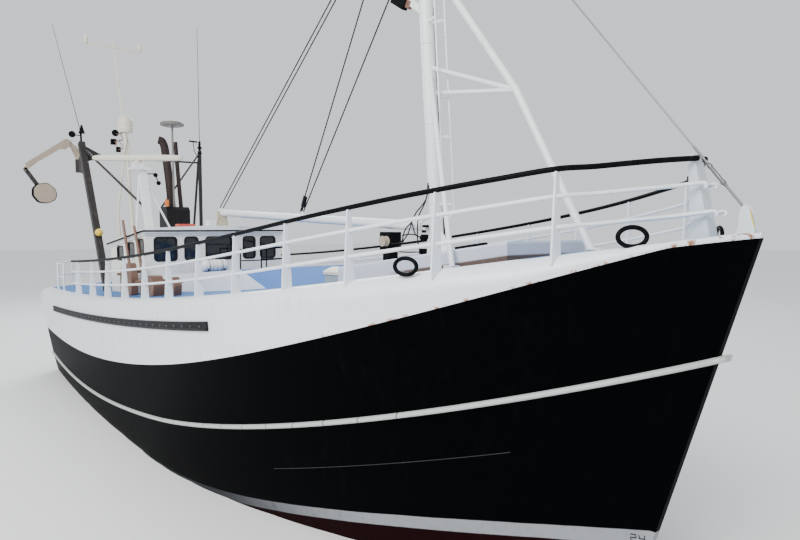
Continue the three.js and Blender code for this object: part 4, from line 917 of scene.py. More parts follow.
side_rows = np.stack([
    hull_point(stations, lambda x, level=level: shelter_height(x, level))
    for level in shelter_levels], axis=1)
rim = side_rows[:, -1]
along_rim = np.gradient(rim, axis=0)
outward = np.stack([-along_rim[:, 1], along_rim[:, 0]], axis=1)
outward /= np.linalg.norm(outward, axis=1, keepdims=True)
outward[0] = (-1, 0)
angle = np.linspace(0, math.pi / 2, 9)[1:]
inset = roll[:, None] * (1 - np.cos(angle))
rolled = np.stack([
    rim[:, None, 0] - outward[:, None, 0] * inset,
    np.maximum(rim[:, None, 1] - outward[:, None, 1] * inset, 0.02),
    rim[:, None, 2] + roll[:, None] * np.sin(angle),
], axis=-1)
edge = rolled[:, -1]
print("gunwale rolled in by up to", GUNWALE_RADIUS, "m")

# %% Deck inside the gunwale
DECK_MARGIN = 0.16
crown = DECK_CAMBER * np.minimum(1, edge[:, 1] / 2.5)
margin = np.maximum(edge[:, 1] - DECK_MARGIN, 0.5 * edge[:, 1])
deck_half = np.concatenate([margin[:, None], margin[:, None] * np.linspace(1, 0, 12)[None, 1:]], axis=1)
deck_rows = np.stack([
    np.repeat(edge[:, :1], deck_half.shape[1], axis=1),
    deck_half,
    edge[:, 2:] + crown[:, None] * (1 - deck_half / edge[:, 1:2]),
], axis=-1)
shelter_rows = np.concatenate([side_rows, rolled, deck_rows[:, :-1]], axis=1)
starboard_rows = (shelter_rows * np.array((1, -1, 1)))[:, ::-1]
shelter_around = np.concatenate([shelter_rows, deck_rows[:, -1:], starboard_rows], axis=1)
ring = shelter_around.shape[1]
shelter_skin = grid_shell(shelter_around)
shelter_skin[1].extend(lid_faces(ring) + end_faces(ring))


def deck_or_plating(centres):
    """1 for a face of the deck inside the white margin, else 0."""
    edge_half = np.interp(centres[:, 0], edge[:, 0], margin)
    high = centres[:, 2] > np.interp(centres[:, 0], edge[:, 0], edge[:, 2]) - 0.02
    return (high & (np.abs(centres[:, 1]) < edge_half) & (centres[:, 0] < BLUE_END_X)).astype(int)


piece("shelter_skin", [shelter_skin], [white_plating, deck_blue],
      stands_for=["shelter_deck"], sharp=50, per_face=deck_or_plating)
print("shelter skin:", made_pieces["shelter_skin"], "faces")

# %% [markdown]
# ## Strake and quarter rubber
# A welded half-round strake runs along the black side and takes the knocks, and a rubber strip does the same
# on the quarter. A curve object with a bevel could follow the side. Here a small section is carried along
# the hull's own formula, so it can't stand off the plating.


# %% Bands along the side
def side_band(first_x, last_x, line_at, section, count):
    """A section of (outward, down) pairs carried along the side, from one x to another."""
    x = np.linspace(first_x, last_x, count)
    z = line_at(x)
    y = half_breadth(x, z)
    slope = np.gradient(y, x)
    normal = np.stack([-slope, np.ones_like(slope)], axis=1) / np.sqrt(1 + slope**2)[:, None]
    section = np.asarray(section, float)
    points = np.zeros((count, len(section), 3))
    points[..., 0] = x[:, None] + normal[:, :1] * section[:, 0]
    points[..., 1] = y[:, None] + normal[:, 1:] * section[:, 0]
    points[..., 2] = z[:, None] - section[:, 1]
    return capped(points)


arc = np.linspace(-math.pi / 2, math.pi / 2, 9)
half_round = [(0.05 * math.cos(a), 0.044 + 0.044 * math.sin(a)) for a in arc]
strake_section = [(-0.05, 0.0), *half_round, (-0.05, 0.088)]
STRAKE_JOINTS = [-11.3, *np.arange(-10.55, 8.2, 0.667), 11.88]
JOINT_GAP = 0.022
strake = [side_band(start, end - JOINT_GAP, strake_line, strake_section, 8 if end < 11 else 60)
          for start, end in zip(STRAKE_JOINTS[:-1], STRAKE_JOINTS[1:])]

SEAM_START_X = 5.277
SEAM_SECTION = [(-0.01, 0.0), (0.004, 0.002), (0.004, 0.01), (-0.01, 0.012)]


def seam_line(x):
    """Height of the weld between two plates at the bow: a parabola in the distance from its aft end."""
    return 1.135 + 0.2535 * (x - SEAM_START_X) + 0.0041 * (x - SEAM_START_X) ** 2


plate_seam = side_band(SEAM_START_X, 9.5, seam_line, SEAM_SECTION, 60)
print("strake in", len(strake), "lengths, and a plate seam")

# %% Quarter rubbers
FENDER_BELOW = 0.48


def fender_line(x):
    """Height of the rubber's top: the deck edge less a constant."""
    return deck_edge(x) - FENDER_BELOW


fender_section = [(-0.03, 0.0), (0.035, 0.0), (0.052, 0.02), (0.053, 0.055), (0.03, 0.075), (0.03, 0.105),
                  (0.053, 0.125), (0.052, 0.16), (0.035, 0.18), (-0.03, 0.18)]
fender = side_band(-9.0, 4.1, fender_line, fender_section, 90)
BOLT_PROFILE = [(0, 0), (0.022, 0), (0.022, 0.012), (0.012, 0.018), (0, 0.018)]
BOLT_PITCH = 0.42
bolts = []
for x in np.arange(-8.8, 4.1, BOLT_PITCH):
    z = float(fender_line(x)) - 0.09
    y = float(half_breadth(x, z))
    bolts.append(revolve(BOLT_PROFILE, (x, y + 0.03, z), (0, 1, 0), 8))
for word, side in SIDES:
    piece(f"strake_{word}", on_side(strake, side), strake_white,
          stands_for=[f"rub_strake_{word}"], sharp=60)
    piece(f"plate_seam_{word}", on_side([plate_seam], side), seam_grey, sharp=60)
    piece(f"quarter_fender_{word}", on_side([fender], side), fender_rubber,
          stands_for=[f"quarter_rubber_{word}"], sharp=50)
    piece(f"fender_bolts_{word}", on_side(bolts, side), wire_grey, sharp=50)
print("quarter rubbers with", 2 * len(bolts), "bolts")

# %% [markdown]
# ## Draft mark
# A plain 24 stands near the stem's foot on both sides. A text object would have to be bent to the plating.
# Each stroke here is a thin bar whose ends are looked up on the hull, so the numerals lie on it.

# %% Draft mark
NUMERAL_X = 10.70
NUMERAL_Z = 1.06
NUMERAL_WIDE = 0.06
NUMERAL_TALL = 0.1
STROKE_DEEP = 0.008
STROKE_WIDE = 0.013
NUMERAL_STROKES = [(0.0, [(0, 1), (1, 1), (1, 0.5), (0, 0.5), (0, 0), (1, 0)]),
                   (1.6, [(0, 1), (0, 0.45), (1, 0.45)]), (1.6, [(1, 1), (1, 0)])]


def numeral_strokes(side):
    """The numerals as thin bars on the plating. On port they read from forward, so x runs backwards."""
    strokes = []
    for shift, corners in NUMERAL_STROKES:
        spots = []
        for u, v in corners:
            along_text = (shift + u) * NUMERAL_WIDE
            x = NUMERAL_X + (along_text if side < 0 else 2.6 * NUMERAL_WIDE - along_text)
            z = NUMERAL_Z + v * NUMERAL_TALL
            spots.append((x, side * (float(half_breadth(x, z)) + 0.001), z))
        strokes += [bar(start, end, STROKE_DEEP, STROKE_WIDE) for start, end in zip(spots[:-1], spots[1:])]
    return strokes


piece("draft_marks", numeral_strokes(-1) + numeral_strokes(1), rail_black, sharp=35)
print("a draft mark on both sides")

# %% [markdown]
# ## Guard rails
# Tapered plates carry a thick black top rail and two white pipes, all along the gunwale. At the bow both
# sides run into one tapered post. An Array modifier could set the plates, but not to the deck's changing
# height, so the plates and the rails through their heads are worked out from the same curves.

# %% Rails
RAIL_HEIGHT = 1.1
TOP_RAIL_RADIUS = 0.036
PIPE_RADIUS = 0.028
stanchion_x = [10.46, 9.075, 7.69, 6.285, 4.65, 3.045, 1.37, -0.235, -1.82, -3.38, -4.96, -6.645]


def rail_half(x):
    """Distance of the rail from the centreline: it stands further inside the deck edge aft than forward."""
    x = np.asarray(x, float)
    inset = 0.18 + (0.31 - 0.18) * np.clip((8.5 - x) / 3.5, 0, 1)
    return half_breadth(x, deck_edge(x)) - inset


BOW_BEND = [(11.44, 0.10), (11.20, 0.56), (10.95, 0.93), (10.70, 1.27)]
RAIL_RUN = [10.47, 9.8, 9.1, 8.45, 7.8, 7.1, 6.4, 4.765, 3.13, 1.495, -0.14, -1.775, -3.41, -5.045, -6.68,
            -7.45]


def rail_path(height, count=160, bow=BOW_BEND):
    """A smooth path at a height over the deck edge, through the bend at the bow and along the side."""
    bend = [(x, y, float(deck_edge(x)) + height) for x, y in bow]
    run = [(x, float(rail_half(x)), float(deck_edge(x)) + height) for x in RAIL_RUN]
    return curve_through(bend + run, count)


top_rail = tube(rail_path(RAIL_HEIGHT - TOP_RAIL_RADIUS), TOP_RAIL_RADIUS, 16)
PAST_POST = {0.73: (11.53, 0.165), 0.35: (11.66, 0.15)}
pipes = [tube(rail_path(height, bow=[end, (11.30, 0.40), *BOW_BEND[2:]]), PIPE_RADIUS, 12)
         for height, end in PAST_POST.items()]
plates = []
for x in stanchion_x:
    foot = float(deck_edge(x)) - 0.11
    base = float(deck_edge(x)) + 0.03
    head = float(deck_edge(x)) + RAIL_HEIGHT - 1.8 * TOP_RAIL_RADIUS
    y = float(rail_half(x))
    outline = [(y + 0.092, foot), (y + 0.092, base), (y + 0.036, head),
               (y - 0.036, head), (y - 0.092, base), (y - 0.092, foot)]
    plates.append(prism(outline, "x", x - 0.015, x + 0.015))
for word, side in SIDES:
    piece(f"top_pipe_{word}", on_side([top_rail], side), rail_black,
          stands_for=[f"top_rail_{word}"])
    piece(f"rail_pipes_{word}", on_side(pipes, side), white_rail)
    piece(f"rail_plates_{word}", on_side(plates, side), white_rail,
          stands_for=[f"rail_frame_{word}"], bevel=0.004)
print("guard rails:", len(stanchion_x), "plates a side")

# %% Stern rail
STERN_HEIGHTS = (0.95, 0.48)
STERN_RUN = [(-9.35, 3.08), (-10.3, 3.07), (-11.15, 2.88), (-11.68, 2.3), (-11.76, 1.2), (-11.77, 0)]
stern_round = STERN_RUN + [(x, -y) for x, y in STERN_RUN[-2::-1]]
FOOT_PROFILE = [(0, 0), (0.07, 0), (0.07, 0.014), (0.035, 0.03), (0, 0.03)]


def at_stern(height):
    """The stations of the stern rail at a height over the deck edge."""
    return [(x, y, float(deck_edge(x)) + height) for x, y in stern_round]


stern_pipes = [tube(curve_through(at_stern(height), 90), PIPE_RADIUS, 12) for height in STERN_HEIGHTS]
stern_posts = [rod(foot, head, 0.03, 12) for foot, head in zip(at_stern(-0.1), at_stern(STERN_HEIGHTS[0]))]
stern_feet = [revolve(FOOT_PROFILE, foot, sides=16) for foot in at_stern(-0.01)]
piece("stern_rail_pipes", stern_pipes + stern_posts + stern_feet, white_rail,
      stands_for=["stern_rail"])
print("stern rail of", len(stern_posts), "posts")

# %% [markdown]
# ## Ring fairleads
# Round hoops are welded to the gunwale. Each is a bar bent into an oval. A stretched torus would have a bar
# that is thick in one direction, so it is a tube round a path that closes on itself.


# %% Fairleads
def closed_tube(path, radius, sides=12):
    """A tube round a closed path, with frames from the path's own plane."""
    path = np.asarray(path, float)
    tangent = np.roll(path, -1, axis=0) - np.roll(path, 1, axis=0)
    tangent /= np.linalg.norm(tangent, axis=1, keepdims=True)
    middle = path.mean(axis=0)
    square = np.cross(path[0] - middle, path[len(path) // 4] - middle)
    square /= np.linalg.norm(square)
    side = np.broadcast_to(square, path.shape)
    ring = circles(side, np.cross(side, tangent), sides)
    return grid_shell(path[:, None] + radius * ring, wrap_rows=True, wrap_columns=True)


def oval(centre, across, over, count=48):
    """Points round an oval: centre + cos a across + sin a over."""
    angle = np.linspace(0, 2 * math.pi, count, endpoint=False)[:, None]
    centre, across, over = np.array(centre, float), np.array(across, float), np.array(over, float)
    return centre + np.cos(angle) * across + np.sin(angle) * over


FAIRLEADS = [("aft", 8.67, 0.195, 0.142, 0.100, 68), ("forward", 11.19, 0.210, 0.145, 0.115, 35)]
HOOP_RADIUS = 0.029
for word, x, wide, tall, lifted, heading in FAIRLEADS:
    y = float(half_breadth(x, deck_edge(x))) - 0.15
    turn_angle = math.radians(heading - 90)
    across = np.array((math.cos(turn_angle), math.sin(turn_angle), 0)) * (wide - HOOP_RADIUS)
    centre = (x, y, float(deck_edge(x)) + lifted)
    ring = closed_tube(oval(centre, across, (0, 0, tall - HOOP_RADIUS)), HOOP_RADIUS)
    for end_word, side in SIDES:
        piece(f"hoop_{word}_{end_word}", on_side([ring], side), rail_black,
              stands_for=[f"fairlead_{word}_{end_word}"])
print("four ring fairleads")

# %% [markdown]
# ## Stem head
# At the very bow a small plate with two cheeks and a pin takes the foot of the forestay. It could be boxes
# with bevels, but its outline is what is seen from the side, so it is drawn as one and cut from plate.

# %% Stem head and pipe ends
STEM_OUTLINE = [(11.895, 5.36), (11.93, 5.47), (11.935, 5.6), (11.945, 5.68), (11.985, 5.73),
                (12.03, 5.725), (12.06, 5.67), (12.085, 5.55), (12.12, 5.45), (12.124, 5.36)]
stem_cheeks = [prism(STEM_OUTLINE, "y", low, low + 0.022) for low in (-0.06, 0.038)]
stem_web = prism([(11.90, 5.36), (11.93, 5.47), (12.09, 5.47), (12.12, 5.36)], "y", -0.04, 0.04)
stem_pin = rod((12.02, -0.058, 5.64), (12.02, 0.058, 5.64), 0.024, 16)
piece("stem_head", [*stem_cheeks, stem_web, stem_pin], bow_grey, stands_for=["stem_plate"], bevel=0.004)
LIP_OUTLINE = [(12.06, 5.67), (12.085, 5.55), (12.12, 5.45), (12.126, 5.45), (12.091, 5.56), (12.066, 5.68)]
stem_lip = prism(LIP_OUTLINE, "y", -0.061, -0.037)
piece("stem_lip", [stem_lip], yellow_paint, sharp=35)
HOOK_BEND = [(-0.01, 0.0, 0.0), (0.035, -0.01, -0.005), (0.05, -0.015, -0.035), (0.035, -0.02, -0.06)]
for word, side in SIDES:
    for height, (x, y) in PAST_POST.items():
        z = float(deck_edge(x)) + height
        bend = [(x + dx, side * (y + dy), z + dz) for dx, dy, dz in HOOK_BEND]
        hook = tube(curve_through(bend, 16), 0.022, 12)
        piece(f"pipe_hook_{word}_{round(height * 100)}", [hook], white_rail, sharp=40)
print("the stem head and the ends of the rail pipes")

# %% [markdown]
# ## Windows
# The wheelhouse walls come from the frame with their openings cut. A window on such a boat is a pane in a
# rubber gasket with round corners. The pane is a thin slab in mid wall. Cutting a gasket with a Boolean
# would leave a ragged mesh, so it is a frame between two rounded outlines that covers the opening's edge
# from both sides.

# %% Panes and gaskets
HOUSE_FRONT = -3.3
HOUSE_AFT = -6.7
HOUSE_HALF = 2.2
WALL = 0.06
FRONT_WINDOWS = [(-1.93, -1.30), (-1.035, -0.65), (-0.38, 0.44), (0.85, 1.24), (1.45, 1.96)]
SIDE_WINDOWS = [(-4.0, -3.43), (-4.92, -4.29), (-6.01, -5.38)]
AFT_WINDOWS = [(-1.8, -1.0), (-0.6, 0.3)]
GASKET_IN = 0.014
GASKET_OUT = 0.034


def roof_edge(x):
    """Height of the roof's edge: a straight line that falls from front to back."""
    return 5.415 - 0.415 * (HOUSE_FRONT - x) / (HOUSE_FRONT - HOUSE_AFT)


def window(a0, b0, a1, b1, axis, wall_low, wall_high, corner=0.085):
    """(gasket, pane) of an opening between two corners in a wall that is square to an axis."""
    inner = rounded_outline(a0 + GASKET_IN, b0 + GASKET_IN, a1 - GASKET_IN, b1 - GASKET_IN, corner)
    outer = rounded_outline(a0 - GASKET_OUT, b0 - GASKET_OUT, a1 + GASKET_OUT, b1 + GASKET_OUT,
                            corner + 0.035)
    middle = (wall_low + wall_high) / 2
    pane_outline = rounded_outline(a0 + 0.004, b0 + 0.004, a1 - 0.004, b1 - 0.004, corner)
    return (hoop(inner, outer, axis, wall_low - 0.009, wall_high + 0.009),
            prism(pane_outline, axis, middle - 0.004, middle + 0.004))


front = [window(y0, 4.5, y1, 5.165, "x", HOUSE_FRONT - WALL, HOUSE_FRONT) for y0, y1 in FRONT_WINDOWS]
aft = [window(y0, 4.25, y1, 4.8, "x", HOUSE_AFT, HOUSE_AFT + WALL) for y0, y1 in AFT_WINDOWS]
side = [window(x0, roof_edge(x0) - 0.63, x1, roof_edge(x0) - 0.22, "y", HOUSE_HALF - WALL, HOUSE_HALF)
        for x0, x1 in SIDE_WINDOWS]
side += [(mirrored(gasket), mirrored(pane)) for gasket, pane in side]
windows = front + aft + side
piece("window_gaskets", [gasket for gasket, _ in windows], hose_black, sharp=35)
piece("window_panes", [pane for _, pane in windows], window_glass, sharp=35)
door_gasket, door_pane = window(0.96, 4.3, 1.29, 4.72, "x", HOUSE_AFT, HOUSE_AFT + WALL, 0.06)
piece("door_gasket", [door_gasket], hose_black, body="wheelhouse_door", sharp=35)
piece("door_pane", [door_pane], window_glass, body="wheelhouse_door", sharp=35)
print(len(windows) + 1, "windows")

# %% [markdown]
# ## The roof
# The wheelhouse roof is a cambered plate with a rolled edge, a black line along the edge and a drip strip
# under it. A subdivided box could be bulged, but as a grid its height falls by the square of the distance
# from the centreline, and the gear on the roof can be set on the same sum.

# %% Roof
ROOF_OVERHANG = 0.11
ROOF_THICKNESS = 0.11
ROOF_CROWN = 0.09
roof_half = HOUSE_HALF + ROOF_OVERHANG
roof_x = np.linspace(HOUSE_AFT - ROOF_OVERHANG, HOUSE_FRONT + ROOF_OVERHANG, 30)
share = np.linspace(-1, 1, 41)
lip = 0.028
lip_angle = np.linspace(-math.pi / 2, math.pi / 2, 7)[1:-1]
top_y = (roof_half - lip) * share
top_z = ROOF_CROWN * (1 - share**2)
section = np.concatenate([
    np.stack([top_y, top_z], axis=1),
    np.stack([roof_half - lip + lip * np.cos(lip_angle[::-1]), -lip + lip * np.sin(lip_angle[::-1])], axis=1),
    np.array([(roof_half - lip, -ROOF_THICKNESS), (-roof_half + lip, -ROOF_THICKNESS)]),
    np.stack([-roof_half + lip - lip * np.cos(lip_angle), -lip + lip * np.sin(lip_angle)], axis=1),
])
roof_points = np.zeros((len(roof_x), len(section), 3))
roof_points[..., 0] = roof_x[:, None]
roof_points[..., 1] = section[:, 0]
roof_points[..., 2] = roof_edge(roof_x)[:, None] + section[:, 1]
piece("roof_skin", [capped(roof_points)], roof_white, stands_for=["wheelhouse_roof"],
      sharp=50)
print("roof with a crown of", ROOF_CROWN, "m")

# %% Roof strips
STRIP_TALL = 0.065
STRIP_WIDE = 0.04


def drip_at(x, y):
    """A point in the middle of the strip under the roof's edge."""
    return x, y, roof_edge(x) - ROOF_THICKNESS - STRIP_TALL / 2


drips = [bar(drip_at(HOUSE_AFT, s * (HOUSE_HALF + 0.02)), drip_at(HOUSE_FRONT, s * (HOUSE_HALF + 0.02)),
             STRIP_WIDE, STRIP_TALL) for s in (-1, 1)]
drips += [bar(drip_at(x, -HOUSE_HALF - 0.04), drip_at(x, HOUSE_HALF + 0.04), STRIP_WIDE, STRIP_TALL)
          for x in (HOUSE_FRONT + 0.02, HOUSE_AFT - 0.02)]
piece("roof_drip_strip", drips, roof_white, sharp=35)
LINE_HIGH = 0.038
LINE_LOW = 0.088
line_tall = LINE_LOW - LINE_HIGH


def line_at(x, y):
    """A point in the middle of the black line round the roof's edge."""
    return x, y, roof_edge(x) - (LINE_HIGH + LINE_LOW) / 2


lines = [bar(line_at(roof_x[0], s * (roof_half - 0.026)), line_at(roof_x[-1], s * (roof_half - 0.026)),
             0.056, line_tall) for s in (-1, 1)]
lines += [bar(line_at(x, 0.001 - roof_half), line_at(x, roof_half - 0.001), 0.01, line_tall)
          for x in (roof_x[0], roof_x[-1])]
piece("roof_line", lines, rail_black, sharp=35)
print("drip strip and black line")

# %% [markdown]
# ## The mast
# The mast is a plain raked tube that tapers above its braces, with weld rings, lugs for the boom, eyes for
# the wires and one leg to the casing. A cylinder could be scaled at its top. The tube function takes a
# radius along its path, and on_mast tells every fitting where the raked mast is.

# %% Foremast
MAST_FOOT_X = 6.57
MAST_FOOT_Z = 4.88
MAST_RAKE = 0.0745
MAST_RADIUS = 0.13
MAST_TAPER_Z = 9.5
MAST_HEAD_Z = 13.2
MAST_HEAD_RADIUS = 0.095


def on_mast(z, forward=0.0, side=0.0):
    """A point at a height on the mast's axis, or off it: x = foot - rake times the height over the foot."""
    return MAST_FOOT_X - MAST_RAKE * (z - MAST_FOOT_Z) + forward, side, z


def mast_radius(z):
    """Full radius up to the taper, then a straight run to the head's."""
    share = np.clip((z - MAST_TAPER_Z) / (MAST_HEAD_Z - MAST_TAPER_Z), 0, 1)
    return MAST_RADIUS + (MAST_HEAD_RADIUS - MAST_RADIUS) * share


mast_z = np.concatenate([np.linspace(4.5, MAST_TAPER_Z, 8), np.linspace(MAST_TAPER_Z + 0.3, MAST_HEAD_Z, 20)])
mast_tube = tube([on_mast(z) for z in mast_z], mast_radius(mast_z), 40)
head_plate = rod(on_mast(MAST_HEAD_Z), on_mast(MAST_HEAD_Z + 0.12), 0.14, 32)
weld_rings = [closed_tube(oval(on_mast(z), (float(mast_radius(z)) + 0.004, 0, -0.012),
                               (0, float(mast_radius(z)) + 0.004, 0)), 0.007, 6)
              for z in (5.9, 7.4, 8.9, 10.6, 12.1)]
print("mast of", MAST_HEAD_Z, "m over the water")

# %% Lugs, eyes, webs and leg
GOOSENECK_Z = 5.48
GOOSENECK_X = on_mast(GOOSENECK_Z)[0] - MAST_RADIUS - 0.13
LUG_OFFSET = 0.0706
lug_root = on_mast(GOOSENECK_Z)[0] - 0.1
lug_round = [(GOOSENECK_X - 0.06 * math.cos(a), GOOSENECK_Z - 0.06 * math.sin(a))
             for a in np.linspace(math.pi / 3, -math.pi / 3, 5)]
lug_outline = [(lug_root, GOOSENECK_Z - 0.13), (GOOSENECK_X, GOOSENECK_Z - 0.06), *lug_round,
               (GOOSENECK_X, GOOSENECK_Z + 0.06), (lug_root, GOOSENECK_Z + 0.13)]
lugs = [prism(lug_outline, "y", side * LUG_OFFSET - 0.015, side * LUG_OFFSET + 0.015) for side in (-1, 1)]
top_eyes = [bar(on_mast(z), on_mast(z + 0.04, way * 0.23), 0.03, 0.11)
            for z, way in [(11.08, -1), (12.55, -1), (12.95, 1)]]
top_eyes.append(bar(on_mast(12.5, -0.21), on_mast(12.73, -0.21), 0.03, 0.06))
top_eyes += [rod(on_mast(z, -0.21, -0.065), on_mast(z, -0.21, 0.065), 0.014, 10)
             for z in (11.11, 12.53, 12.68)]
lamp_arm = bar(on_mast(9.5), on_mast(9.95, -0.62), 0.06, 0.13)


def trunk_top(x):
    """Height of the trunk's top: a straight line that rises forward."""
    return 4.66 + (5.25 - 4.66) * (x - 4.7) / (9.1 - 4.7)


web_low = trunk_top(MAST_FOOT_X) - 0.02
WEB_HALF = 0.26
web_neck = on_mast(5.4)[0]
fore_aft_web = [(web_neck - 0.12, 5.4), (web_neck + 0.12, 5.4),
                (MAST_FOOT_X + WEB_HALF, 5.22), (MAST_FOOT_X + WEB_HALF, web_low),
                (MAST_FOOT_X - WEB_HALF, web_low), (MAST_FOOT_X - WEB_HALF, 5.22)]
cross_web = [(-0.12, 5.4), (0.12, 5.4), (WEB_HALF, 5.22), (WEB_HALF, web_low),
             (-WEB_HALF, web_low), (-WEB_HALF, 5.22)]
webs = [prism(fore_aft_web, "y", -0.012, 0.012),
        prism(cross_web, "x", MAST_FOOT_X - 0.012, MAST_FOOT_X + 0.012)]
LEG_FOOT = np.array((8.26, -1.265, 4.62))
LEG_HEAD = np.array((6.44, -0.09, 8.3))
leg = [rod(LEG_FOOT, LEG_HEAD, 0.045, 20), block((8.07, -1.31, 4.6), (8.25, -1.13, 4.865))]
piece("mast_tube", [mast_tube, head_plate, *weld_rings, *lugs, *top_eyes, lamp_arm, *webs, *leg], mast_white,
      stands_for=["foremast"], sharp=35)
print("lugs:", len(lugs), " eyes and pins:", len(top_eyes))

# %% [markdown]
# ## Strut and ladder
# A forward strut with a knee and two short braces stiffens the mast, and a ladder climbs its fore side. An
# Array modifier would repeat one rung straight up. The rungs here follow the mast's rake by asking on_mast
# for each end.

# %% Strut
STRUT_FOOT = (9.96, 0, 4.95)
STRUT_KNEE = (8.41, 0, 7.70)
strut_head = on_mast(10.56, float(mast_radius(10.56)) - 0.06)
strut_tubes = [rod(STRUT_FOOT, STRUT_KNEE, 0.062, 24), rod(STRUT_KNEE, strut_head, 0.062, 24),
               rod(on_mast(8.44, 0.1), STRUT_KNEE, 0.04, 20), rod(on_mast(7.97, 0.1), STRUT_KNEE, 0.04, 20)]
half_turn = np.linspace(0, math.pi, 13)
knee_ball = revolve([(0.066 * math.sin(a), -0.066 * math.cos(a)) for a in half_turn], STRUT_KNEE)
strut_foot_plate = revolve([(0, 0), (0.12, 0), (0.12, 0.016), (0.066, 0.03), (0, 0.03)],
                           (STRUT_FOOT[0] - 0.02, 0, float(deck_edge(STRUT_FOOT[0])) + 0.1))
piece("mast_strut_tubes", [*strut_tubes, knee_ball, strut_foot_plate], mast_white,
      stands_for=["mast_strut"], sharp=35)
print("strut with", len(strut_tubes) - 2, "braces")

# %% Ladder
LADDER_OFFSET = 0.36
LADDER_HALF = 0.125
LADDER_LOW = 5.75
LADDER_HIGH = 12.3
LADDER_BEND = [(5.64, LADDER_OFFSET - 0.1, 0.1), (5.72, LADDER_OFFSET - 0.02, 0.12),
               (5.95, LADDER_OFFSET, LADDER_HALF), (9.0, LADDER_OFFSET, LADDER_HALF),
               (LADDER_HIGH, LADDER_OFFSET, LADDER_HALF)]
ladder = [tube(curve_through([on_mast(z, ahead, s * half) for z, ahead, half in LADDER_BEND], 40), 0.02, 12)
          for s in (-1, 1)]
rung_heights = np.arange(LADDER_LOW + 0.2, LADDER_HIGH, 0.38)
ladder += [rod(on_mast(z, LADDER_OFFSET, -LADDER_HALF), on_mast(z, LADDER_OFFSET, LADDER_HALF), 0.011, 8)
           for z in rung_heights]
ladder += [bar(on_mast(z, 0.06, s * 0.06), on_mast(z, LADDER_OFFSET, s * LADDER_HALF), 0.012, 0.05)
           for z in (5.9, 7.15, 9.3, 11.9) for s in (-1, 1)]
piece("mast_ladder_bars", ladder, mast_white, stands_for=["mast_ladder"], sharp=40)
print("a ladder of", len(rung_heights), "rungs")

# %% [markdown]
# ## Forestay
# The stay is wire rope with a bottle screw at its foot that draws it tight. A curve object with a bevel
# would do for the wire. The screw is a turned profile set along the same line, so both come from one
# direction and a distance.


# %% Forestay
def wire_rope(start, end, radius, count):
    """A taut wire through evenly spread points."""
    start, end = np.array(start, float), np.array(end, float)
    t = np.linspace(0, 1, count)[:, None]
    return tube(start + (end - start) * t, radius, 8)


STAY_FOOT = np.array((12.02, 0, 5.64))
STAY_HEAD = np.array(on_mast(12.99, 0.19))
stay_way = (STAY_HEAD - STAY_FOOT) / np.linalg.norm(STAY_HEAD - STAY_FOOT)
stay_length = float(np.linalg.norm(STAY_HEAD - STAY_FOOT))


def along_stay(distance):
    """A point on the stay, a distance up from its foot."""
    return STAY_FOOT + stay_way * distance


screw_profile = [(0, 0), (0.02, 0), (0.02, 0.03), (0.032, 0.045), (0.032, 0.075), (0.026, 0.09),
                 (0.026, 0.31), (0.032, 0.325), (0.032, 0.355), (0.02, 0.37), (0.02, 0.4), (0, 0.4)]
stay_shells = [wire_rope(along_stay(0.06), along_stay(stay_length), 0.0115, 30),
               revolve(screw_profile, along_stay(0.42), stay_way, 16),
               rod(along_stay(0.08), along_stay(0.43), 0.016, 12),
               rod(along_stay(0.81), along_stay(1.1), 0.017, 12)]
side_way = np.array((0, 1, 0))
stay_shells.append(closed_tube(oval(along_stay(0.04), stay_way * 0.055, side_way * 0.04), 0.011, 8))
piece("forestay_wire", stay_shells, wire_grey, stands_for=["forestay"], sharp=40)
print("forestay of", round(stay_length, 2), "m")

# %% [markdown]
# ## Boom and topping wires
# The boom rests in its crutch, and wires from the masthead hold it up. They cross the boom's joint.

# %% Cargo boom
BOOM_END_X = -3.72
BOOM_END_Y = 0.262
BOOM_END_Z = 5.935
BOOM_RADIUS = 0.10


def on_boom(x, lift=0.0):
    """A point on the boom's axis at rest, or over it: a straight line from the gooseneck to its end."""
    share = (GOOSENECK_X - x) / (GOOSENECK_X - BOOM_END_X)
    return x, BOOM_END_Y * share, GOOSENECK_Z + (BOOM_END_Z - GOOSENECK_Z) * share + lift


boom_x = np.linspace(GOOSENECK_X - 0.12, BOOM_END_X, 24)
boom_shell = tube([on_boom(x) for x in boom_x], BOOM_RADIUS, 32)
boom_eye = rod((GOOSENECK_X, -0.055, GOOSENECK_Z), (GOOSENECK_X, 0.055, GOOSENECK_Z), 0.05, 20)
boom_neck = bar(on_boom(GOOSENECK_X), on_boom(GOOSENECK_X - 0.2), 0.06, 0.07)
lift_x = [BOOM_END_X + 5.19, BOOM_END_X + 0.15]
EYE_OUTLINE = [(-0.07, 0), (0.07, 0), (0.045, 0.16), (0, 0.19), (-0.045, 0.16)]
EYE_PIN = np.array((0, 0.075, 0))
lift_eyes = []
for x in lift_x:
    _, y, z = on_boom(x)
    lift_eyes.append(prism([(x + dx, z + dz) for dx, dz in EYE_OUTLINE], "y", y - 0.015, y + 0.015))
for x in lift_x:
    pin_middle = np.array(on_boom(x, 0.16))
    lift_eyes.append(rod(pin_middle - EYE_PIN, pin_middle + EYE_PIN, 0.014, 10))
boom_bands = [closed_tube(oval(on_boom(x), (0, BOOM_RADIUS, 0), (0, 0, BOOM_RADIUS)), 0.009, 8)
              for x in (*lift_x, -2.0)]
piece("boom_tube", [boom_shell, boom_eye, boom_neck, *lift_eyes, *boom_bands], mast_white, body="cargo_boom",
      stands_for=["cargo_boom"], sharp=35)
print("boom of", round(GOOSENECK_X - BOOM_END_X, 2), "m")

